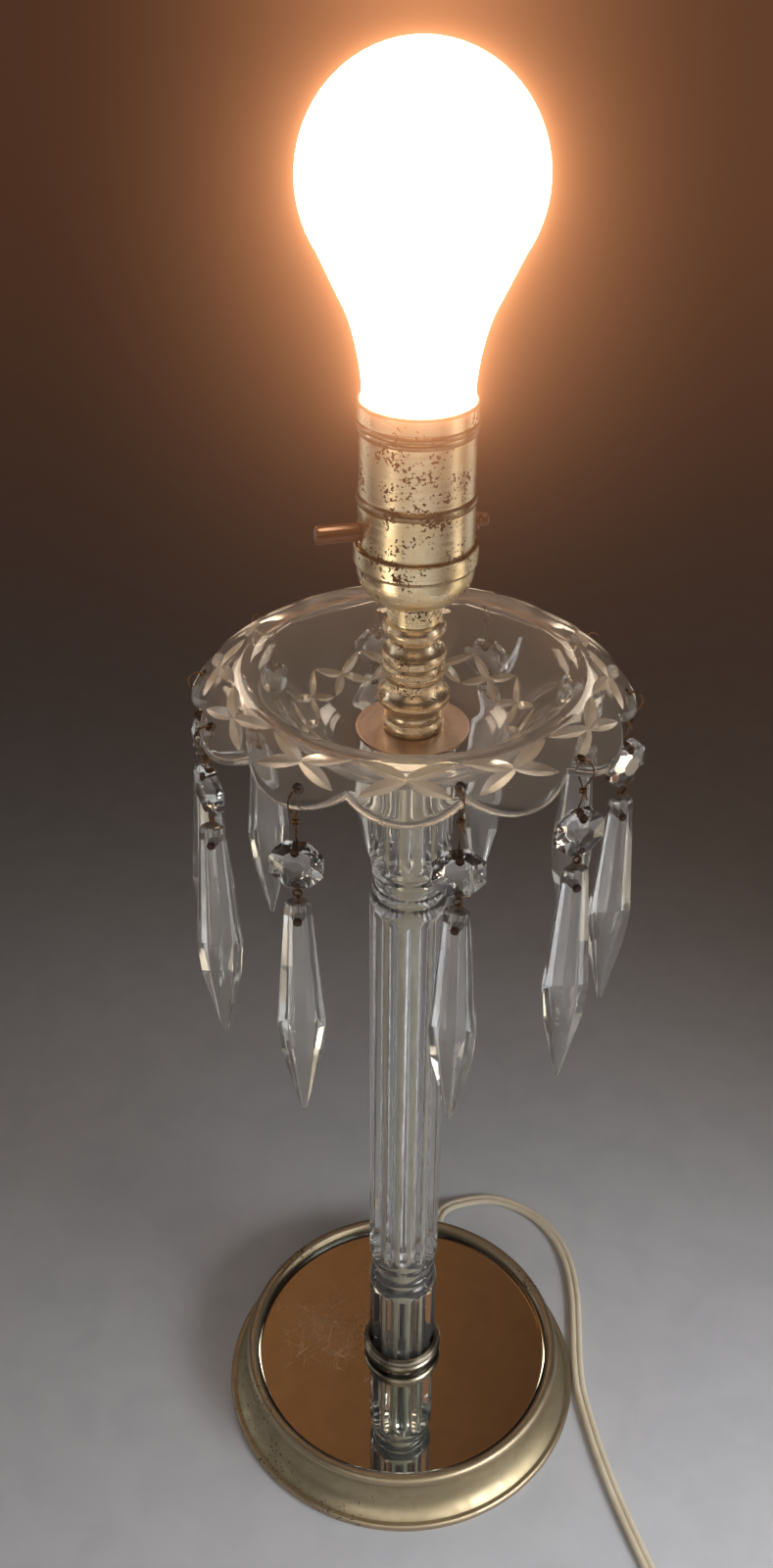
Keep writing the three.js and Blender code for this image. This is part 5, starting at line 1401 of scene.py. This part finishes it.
# %% Bulb base
BULB_FOOT, BASE_RADIUS, BASE_LENGTH, BULB_WALL = 390.3, 13, 23.7, 1
THREAD_PITCH, THREAD_HALF_DEPTH, THREAD_LENGTH, THREAD_RUN_OUT = 3.63, 0.4, 15, 2
WALL_STEP = 0.25
SCREW_TOP = BULB_FOOT + BASE_LENGTH
thread_low = BULB_FOOT + 5.4
thread_high = thread_low + THREAD_LENGTH
base_turning = (
    Outline(0, BULB_FOOT)
    .line(3.5, BULB_FOOT)
    .line(4.6, BULB_FOOT + 1.2)
    .line(9.5, BULB_FOOT + 3)
    .line(BASE_RADIUS - 0.3, thread_low)
)
for k in range(1, round(THREAD_LENGTH / WALL_STEP) + 1):
    base_turning.line(BASE_RADIUS, thread_low + k * WALL_STEP)
base_turning.line(BASE_RADIUS, SCREW_TOP).line(BASE_RADIUS - BULB_WALL, SCREW_TOP)
base_turning.line(BASE_RADIUS - BULB_WALL, BULB_FOOT + 6).line(0, BULB_FOOT + 6)
bulb_base = lathe("screw_base", base_turning, bulb_screw, 64, 0.15)


def threaded_share(x, y, z):
    """1 on the threaded wall, and less where the thread runs out at its two ends."""
    if math.hypot(x, y) <= BASE_RADIUS - 0.5:
        return 0.0
    begun = smooth_share(z, thread_low, thread_low + THREAD_RUN_OUT)
    return min(begun, 1 - smooth_share(z, thread_high - THREAD_RUN_OUT, thread_high))


mark(bulb_base, "threaded", threaded_share)
values = {"Depth": THREAD_HALF_DEPTH * MM, "Pitch": THREAD_PITCH * MM, "Material": bulb_screw}
run_tree(bulb_base, threading, values)
hand_over(bulb_base, "bulb", "bulb_screw", "bulb_base")

# %% Bulb glass
BULB_CENTRE, BULB_RADIUS, NECK_RADIUS, CROWN_STEPS = SCREW_TOP + 59.3, 31.3, 14.9, 26
leaves_at = math.radians(-32)
stations = [
    (BASE_RADIUS - 0.4, SCREW_TOP + SEAT_GAP),
    (NECK_RADIUS - 0.7, BULB_CENTRE - 58.2),
    (NECK_RADIUS, BULB_CENTRE - 56),
    (NECK_RADIUS + 0.3, BULB_CENTRE - 50),
    (16.3, BULB_CENTRE - 42.5),
    (18.7, BULB_CENTRE - 33.5),
    (22.6, BULB_CENTRE - 25),
    (BULB_RADIUS * math.cos(leaves_at), BULB_CENTRE + BULB_RADIUS * math.sin(leaves_at)),
]
outer = [(place.x, place.y) for place in flowing([(r, z, 0) for r, z in stations], 1.6)]
for k in range(1, CROWN_STEPS):
    turn = leaves_at + (math.pi / 2 - leaves_at) * k / CROWN_STEPS
    outer.append((BULB_RADIUS * math.cos(turn), BULB_CENTRE + BULB_RADIUS * math.sin(turn)))
outer.append((0, BULB_CENTRE + BULB_RADIUS))
inner = [(max(r - BULB_WALL, 0), z) for r, z in reversed(outer[:-2])]
glass_outline = Outline(0, BULB_CENTRE + BULB_RADIUS - BULB_WALL)
for r, z in [*inner, *outer]:
    glass_outline.line(r, z)
hand_over(lathe("bulb_envelope", glass_outline, bulb_lit, 96, 0.1), "bulb", "bulb_glass", "bulb_glass")

# %% [markdown]
# ## Pendants
# Ten pendants hang from holes that were drilled by hand, so their spacing is uneven. Each is an octagonal
# bead and a spear-shaped prism on bent brass pins. A pin goes through its hole from the back, ends in a flat
# dark head on the front, and rises behind the crystal to an eye or to a ring with a loose end. Bead and prism
# are the hull of a few well placed points, because every facet of a cut crystal is flat, and each is drilled
# and very finely bevelled. A Geometry Nodes tree gives the wires their round section along their bent paths.

# %% Crystal sizes
BEAD_ACROSS, BEAD_THICKNESS, BEAD_EDGE, BEAD_HOLE_OFFSET, BEAD_HOLE = 15, 6.6, 2, 5.4, 1.15
PRISM_HOLE_DROP, PRISM_HOLE_INSET, PRISM_HOLE, PRISM_LENGTH, PRISM_SHOULDER = 13, 6, 1.2, 82, 46
PRISM_WIDTH, PRISM_THICKNESS, PRISM_TOP_WIDTH, PRISM_TOP_THICKNESS = 14.2, 8.4, 7.6, 4.4
PRISM_BELLY, PRISM_BELLY_WIDTH, PRISM_BELLY_THICKNESS = 57, 12.4, 7.1
# The small table on each face of a bead, and the kites round it: half thickness and radius
BEAD_TABLE, BEAD_KITE = (2.85, 3.3), (2.15, 5)

# Each pendant, hung by hand: the bead's drop below its hook's ring, and the ways that the bead and
# the prism face, as angles from the front
HANGINGS = [
    (18.5, -56, -6), (21.8, -8, 0), (24.6, 4, -14), (21, 24, 12), (22, 42, 16),
    (22.4, 104, 150), (23, 163, 178), (21.6, 198, 186), (22.6, 222, 200), (17.6, 268, 340),
]
print("pendants:", len(HANGINGS))

# %% Bead and prism patterns
def hull(name, points, material):
    """The tightest shape round a set of points, with flat facets."""
    shape = bmesh.new()
    for point in points:
        shape.verts.new(Vector(point) * MM)
    bmesh.ops.convex_hull(shape, input=shape.verts)
    bmesh.ops.delete(shape, geom=[v for v in shape.verts if not v.link_faces], context="VERTS")
    bmesh.ops.dissolve_limit(shape, angle_limit=math.radians(0.8), verts=shape.verts, edges=shape.edges)
    mesh = bpy.data.meshes.new(name)
    shape.to_mesh(mesh)
    shape.free()
    mesh.materials.append(material)
    return add_object(name, mesh)


def drilled(piece, radius, *heights, reach=12):
    """Drills holes from the front to the back, and keeps every facet flat."""
    for height in heights:
        subtract(piece, rod("drill", radius, (-reach, 0, height), (reach, 0, height), 20), hole_grime)
    return crisp(piece, 3)


def bead_points():
    """An octagon with a small table on each face, and kites between the table and the girdle."""
    girdle = (BEAD_EDGE / 2, BEAD_ACROSS / 2 / math.cos(math.pi / 8))
    points = []
    for front in (-1, 1):
        for k in range(8):
            for (half, radius), place in ((girdle, k + 0.5), (BEAD_TABLE, k + 0.5), (BEAD_KITE, k + 1)):
                turn = math.pi * place / 4
                points.append(Vector((front * half, radius * math.cos(turn), radius * math.sin(turn))))
    return points


def prism_points():
    """A flat-topped spear, from its hole: a narrow panel down its middle ends in a V below the shoulder."""
    edge_share, ridge_share, ridge_drop = 0.14, 0.47, 9
    # Drop, width, thickness and width of the panel
    stations = [
        (0, PRISM_TOP_WIDTH - 2.4, PRISM_TOP_THICKNESS - 1, 2),
        (0.7, PRISM_TOP_WIDTH - 0.8, PRISM_TOP_THICKNESS - 0.2, 2.3),
        (2, PRISM_TOP_WIDTH, PRISM_TOP_THICKNESS, 2.6),
        (PRISM_SHOULDER, PRISM_WIDTH, PRISM_THICKNESS, 4.2),
        (PRISM_BELLY, PRISM_BELLY_WIDTH, PRISM_BELLY_THICKNESS, 3.2),
        (PRISM_LENGTH, 1.4, 1.2, 0.5),
    ]
    points = []
    for drop, width, thickness, panel in stations:
        height = PRISM_HOLE_INSET - drop
        for side in (-1, 1):
            for front in (-1, 1):
                points.append((front * thickness * edge_share, side * width / 2, height))
                points.append((front * thickness / 2, side * panel / 2, height))
    ridge_foot = PRISM_HOLE_INSET - PRISM_SHOULDER - ridge_drop
    points += [(front * PRISM_THICKNESS * ridge_share, 0, ridge_foot) for front in (-1, 1)]
    return points


bead_hull = bevelled(hull("bead", bead_points(), bead_crystal), 0.12, 1, 6)
bead_pattern = drilled(bead_hull, BEAD_HOLE, BEAD_HOLE_OFFSET, -BEAD_HOLE_OFFSET)
prism_hull = bevelled(hull("prism", prism_points(), crystal), 0.14, 1, 6)
prism_pattern = drilled(prism_hull, PRISM_HOLE, 0)
print("bead", len(bead_pattern.data.polygons), "prism", len(prism_pattern.data.polygons), "faces")

# %% Wire tree
inputs = [("Wire Radius", "Float", 0.00045), ("Sides", "Int", 10)]
wiring, source, result = start_tree("bent_wire", inputs)
line = add_node(wiring, "GeometryNodeMeshToCurve", {"Mesh": source.outputs["Geometry"]}).outputs[0]
sockets = {"Resolution": source.outputs["Sides"], "Radius": source.outputs["Wire Radius"]}
section = add_node(wiring, "GeometryNodeCurvePrimitiveCircle", sockets).outputs[0]
sockets = {"Curve": line, "Profile Curve": section, "Fill Caps": True}
end_tree(wiring, source, result, add_node(wiring, "GeometryNodeCurveToMesh", sockets).outputs[0])


def bent_wire(name, *paths, sides=8):
    """One mesh of wire along each of the paths, in millimetres."""
    points, edges = [], []
    for path in paths:
        first = len(points)
        points += path
        edges += [(k, k + 1) for k in range(first, len(points) - 1)]
    carrier = make_mesh(name, points, [], [], edges=edges)
    run_tree(carrier, wiring, {"Wire Radius": THIN_WIRE / 2 * MM, "Sides": sides, "Material": pendant_wire})
    return crisp(carrier, 50)

# %% Wire paths
THIN_WIRE, HOOK_CROSSING, EYE_RADIUS, HEAD_RADIUS, HEAD_THICKNESS = 0.56, 7.1, 1.2, 1.3, 0.3
WIRE_CLEARANCE, PIN_CORNER, WIRE_STEP = 0.1, 0.4, 0.4
bead_slope = (BEAD_THICKNESS - BEAD_EDGE) / BEAD_ACROSS
bead_half = BEAD_THICKNESS / 2 - bead_slope * BEAD_HOLE_OFFSET
prism_slope = (PRISM_THICKNESS - PRISM_TOP_THICKNESS) / PRISM_SHOULDER
prism_half = (PRISM_TOP_THICKNESS + prism_slope * PRISM_HOLE_INSET) / 2
print("half thickness at the holes:", round(bead_half, 2), "and", round(prism_half, 2), "mm")


def bend(height, half_width, rise_by, from_turn, steps):
    """Points of a bend, from its outer side over to its inner one."""
    turns = [math.radians(from_turn + (180 - 2 * from_turn) * k / steps) for k in range(steps + 1)]
    return [Vector((half_width * math.cos(t), 0, height + rise_by * math.sin(t))) for t in turns]


def turned_by(points, twist):
    turn = Matrix.Rotation(math.radians(twist), 3, "Z")
    return [turn @ p for p in points]


def pin(edge, edge_half, hole, hole_half):
    """From a crystal's edge down or up its back, and through its hole to the front."""
    clear = THIN_WIRE / 2 + WIRE_CLEARANCE
    behind = hole_half + clear
    corner = math.copysign(PIN_CORNER, edge - hole)
    return [
        Vector((-edge_half - clear, 0, edge)),
        Vector((-behind, 0, hole + corner)),
        Vector((PIN_CORNER - behind, 0, hole)),
        Vector((hole_half, 0, hole)),
    ]


def hook_path(drop, twist):
    """From the dish's hole to the bead: a loose end, a ring, and one thin strand behind the bead."""
    loose_end = [Vector((0.9, 1, -HOOK_CROSSING - 3.2)), Vector((0.45, 0.5, -HOOK_CROSSING - 1.3))]
    ring = bend(0, HOOK_RADIUS, HOOK_RADIUS, -27, 14)
    strand = [Vector((0.2, 0.25, -HOOK_CROSSING + 0.5)), *ring, Vector((0, 0, -HOOK_CROSSING))]
    bead_top = BEAD_ACROSS / 2 - drop
    low = pin(bead_top, BEAD_EDGE / 2, BEAD_HOLE_OFFSET - drop, bead_half)
    return flowing([*loose_end, *strand, *turned_by(low, twist)], WIRE_STEP)


def link_path(drop, twist):
    """From the bead to the prism: a pin in each of them, joined by a round eye."""
    bead_foot, bead_hole = -drop - BEAD_ACROSS / 2, -drop - BEAD_HOLE_OFFSET
    prism_hole = bead_hole - PRISM_HOLE_DROP
    prism_top = prism_hole + PRISM_HOLE_INSET
    middle = (bead_foot + prism_top) / 2
    eye = []
    for k in range(-9, 10):
        turn = math.radians(30 * k + 270)
        lift, side = EYE_RADIUS * math.cos(turn), EYE_RADIUS * math.sin(turn)
        eye.append(Vector((0.05 * k, side, middle + lift)))
    high = reversed(pin(bead_foot, BEAD_EDGE / 2, bead_hole, bead_half))
    low = turned_by(pin(prism_top, PRISM_TOP_THICKNESS / 2, prism_hole, prism_half), twist)
    return flowing([*high, *eye, *low], WIRE_STEP)

# %% Pin heads and knots
def with_heads(wire, *heads):
    """Adds the flat head that each pin has, on the front of the crystal."""
    discs = []
    for height, half, twist in heads:
        ends = [Vector((half + proud, 0, height)) for proud in (0.02, HEAD_THICKNESS)]
        disc = rod("pin_head", HEAD_RADIUS, *turned_by(ends, twist), 20)
        disc.data.materials.append(hole_grime)
        discs.append(disc)
    return joined(wire.name, wire, *discs)


def knot(height, turns=2.2, reach=0.92, pitch=THIN_WIRE * 1.05):
    """The wire's end, wound round the two strands."""
    steps = round(turns * 14)
    made = []
    for k in range(steps + 1):
        turn, climb = 2 * math.pi * turns * k / steps, (k / steps - 0.5) * turns * pitch
        made.append(Vector((reach * math.cos(turn), reach * math.sin(turn), height + climb)))
    return made

# %% Hang the pendants
def about_z(degrees):
    return Matrix.Rotation(math.radians(degrees), 4, "Z")


def lowered(height):
    return Matrix.Translation((0, 0, height * MM))


for number, (joint, (drop, bead_faces, prism_faces)) in enumerate(zip(pendant_joints, HANGINGS), start=1):
    seat = pendant_frame(joint)
    centre = seat.translation
    seat_in_metres = Matrix.Translation(centre * MM) @ seat.to_3x3().to_4x4()
    twist = bead_faces - math.degrees(math.atan2(centre.x, -centre.y))
    second_twist = (prism_faces - bead_faces + 180) % 360 - 180
    high_hole, low_hole = BEAD_HOLE_OFFSET - drop, -drop - BEAD_HOLE_OFFSET
    prism_hole = low_hole - PRISM_HOLE_DROP
    bead_turned = seat_in_metres @ about_z(twist)
    prism_turned = bead_turned @ lowered(prism_hole) @ about_z(second_twist)
    hook = bent_wire("hook_wire", hook_path(drop, twist), knot(-HOOK_CROSSING))
    hook = with_heads(hook, (high_hole, bead_half, twist))
    link = bent_wire("link_wire", link_path(drop, second_twist))
    link = with_heads(link, (low_hole, bead_half, 0), (prism_hole, prism_half, second_twist))
    bead, prism = (add_object(cut.name, cut.data.copy()) for cut in (bead_pattern, prism_pattern))
    # Each piece: its name, its CAD node, the body that it rides on, its finish and its place
    hanging = [
        (hook, "hook_wire", "hook", "pendant", "pendant_wire", seat_in_metres),
        (bead, "cut_bead", "bead", "pendant", "crystal", bead_turned @ lowered(-drop)),
        (link, "link_wire", "link", "drop", "pendant_wire", bead_turned),
        (prism, "cut_prism", "prism", "drop", "crystal", prism_turned),
    ]
    for piece, kind, node, body, finish, place in hanging:
        piece.name = f"{kind}_{number:02d}"
        piece.data.transform(place)
        hand_over(piece, f"{body}_{number:02d}", finish, f"{node}_{number:02d}")
for pattern_piece in (bead_pattern, prism_pattern):
    bpy.data.objects.remove(pattern_piece)

# %% [markdown]
# ## Table and light
# The lamp stands on a plain pale table. Two softboxes light its near part, the stronger from the right, and
# grids on them keep their light off the far table, because clear glass reads best against the dark. Glass and
# plate show what they mirror: cards and strips beside the lamp draw the edges of the crystals and the dish,
# small lamps give the socket its two soft stripes, and a warm card behind it colours the mirror. The lit bulb
# adds a warm glow of its own. One big softbox would be simpler, but it would flatten all of that.

# %% Table
TABLE_HALF_WIDTH, TABLE_NEAR, TABLE_FAR, TABLE_TOP = 6000, -3000, 9000, -0.1
table_material = mottled("pale_table", (0.605, 0.63, 0.68), (0.565, 0.59, 0.64), 0.5, 0.02, 300)
sides = [(-TABLE_HALF_WIDTH, TABLE_NEAR), (TABLE_HALF_WIDTH, TABLE_NEAR)]
sides += [(TABLE_HALF_WIDTH, TABLE_FAR), (-TABLE_HALF_WIDTH, TABLE_FAR)]
corners = [(x, y, TABLE_TOP) for x, y in sides]
make_mesh("pale_table", corners, [(0, 1, 2, 3)], [table_material])

# %% Lights
def softbox(name, place, target, width, height, watts, colour, spread_angle):
    """A soft rectangular light with a grid, at a place in metres, that faces a target."""
    data = bpy.data.lights.new(name, "AREA")
    data.shape = "RECTANGLE"
    data.size, data.size_y = width, height
    data.energy = watts
    data.color = colour
    data.spread = math.radians(spread_angle)
    lamp = add_object(name, data)
    lamp.location = place
    lamp.rotation_euler = (Vector(target) - Vector(place)).to_track_quat("-Z", "Y").to_euler()


# Name, place, target, width and height in metres, watts, colour and the grid's angle in degrees
softbox("key_softbox", (0.42, -0.4, 0.3), (0.13, -0.19, 0), 0.5, 0.25, 0.48, (1.0, 0.995, 0.99), 48)
softbox("near_softbox", (-0.05, -0.5, 0.26), (0, -0.25, 0), 0.8, 0.2, 0.17, (0.98, 0.99, 1.0), 46)
softbox("top_card", (0, 0.08, 1.0), (0, 0, 0.2), 0.34, 0.3, 0.02, (1.0, 0.98, 0.95), 40)
softbox("front_bounce", (0, -0.44, 0.16), (0, 0, 0.4), 1.1, 0.3, 0.2, (1.0, 0.96, 0.9), 110)
softbox("low_left_lamp", (-0.33, -0.26, 0.1), (0, 0, 0.37), 0.16, 0.16, 0.025, (1.0, 0.86, 0.66), 50)
softbox("low_right_lamp", (0.42, 0.0, 0.1), (0, 0, 0.37), 0.14, 0.16, 0.012, (1.0, 0.86, 0.66), 50)
softbox("rim_left_lamp", (-0.32, 0.7, 0.8), (0, 0, 0.33), 0.26, 0.22, 0.05, (1.0, 0.8, 0.6), 40)
softbox("rim_right_lamp", (0.32, 0.7, 0.8), (0, 0, 0.33), 0.26, 0.22, 0.05, (1.0, 0.84, 0.66), 40)
softbox("warm_ceiling", (0, -0.9, 0.95), (0, 0, 0.25), 1.0, 0.6, 0.3, (1.0, 0.74, 0.5), 90)
softbox("left_card", (-0.58, -0.2, 0.42), (0, 0, 0.36), 0.5, 0.6, 0.1, (1.0, 0.95, 0.9), 80)
softbox("right_card", (0.58, -0.2, 0.42), (0, 0, 0.36), 0.5, 0.6, 0.1, (1.0, 0.95, 0.88), 80)
softbox("low_left_card", (-0.5, 0.36, 0.13), (0, 0, 0.27), 0.42, 0.5, 0.035, (0.97, 1.0, 0.96), 60)
softbox("low_right_card", (0.5, 0.36, 0.13), (0, 0, 0.27), 0.42, 0.5, 0.04, (1.0, 1.0, 0.95), 60)
softbox("right_strip", (0.8, -0.2, 0.4), (0, 0, 0.3), 0.05, 0.7, 0.1, (1.0, 0.96, 0.9), 70)
softbox("left_strip", (-0.75, 0.15, 0.45), (0, 0, 0.3), 0.04, 0.7, 0.08, (0.96, 0.98, 1.0), 70)
softbox("warm_card", (-0.06, 0.62, 0.9), (0.55, -0.2, 0.02), 1.2, 0.6, 0.15, (1.0, 0.4, 0.13), 80)
print("lights:", len(bpy.data.lights))

# %% Room
world = bpy.data.worlds.new("studio")
world.use_nodes = True
background = world.node_tree.nodes["Background"]
background.inputs["Color"].default_value = (0.004, 0.004, 0.006, 1)
background.inputs["Strength"].default_value = 1
scene = bpy.context.scene
scene.world = world
scene.view_settings.view_transform = "Standard"

# %% [markdown]
# ## Glow
# A lit bulb spreads a soft glow in any lens. It could be painted as a bright disc, but that would slide in
# other views, so the picture's own highlights are bloomed after the render, and the model stays as it is.

# %% Glow round the bulb
scene.use_nodes = True
developing = scene.node_tree
developing.nodes.clear()
layers = developing.nodes.new("CompositorNodeRLayers")
sockets = {"Image": layers.outputs["Image"], "Threshold": 1.5, "Strength": 0.37, "Size": 0.85}
sockets["Tint"] = (1, 0.52, 0.33, 1)
glow = add_node(developing, "CompositorNodeGlare", sockets, glare_type="BLOOM")
add_node(developing, "CompositorNodeComposite", {"Image": glow.outputs["Image"]})
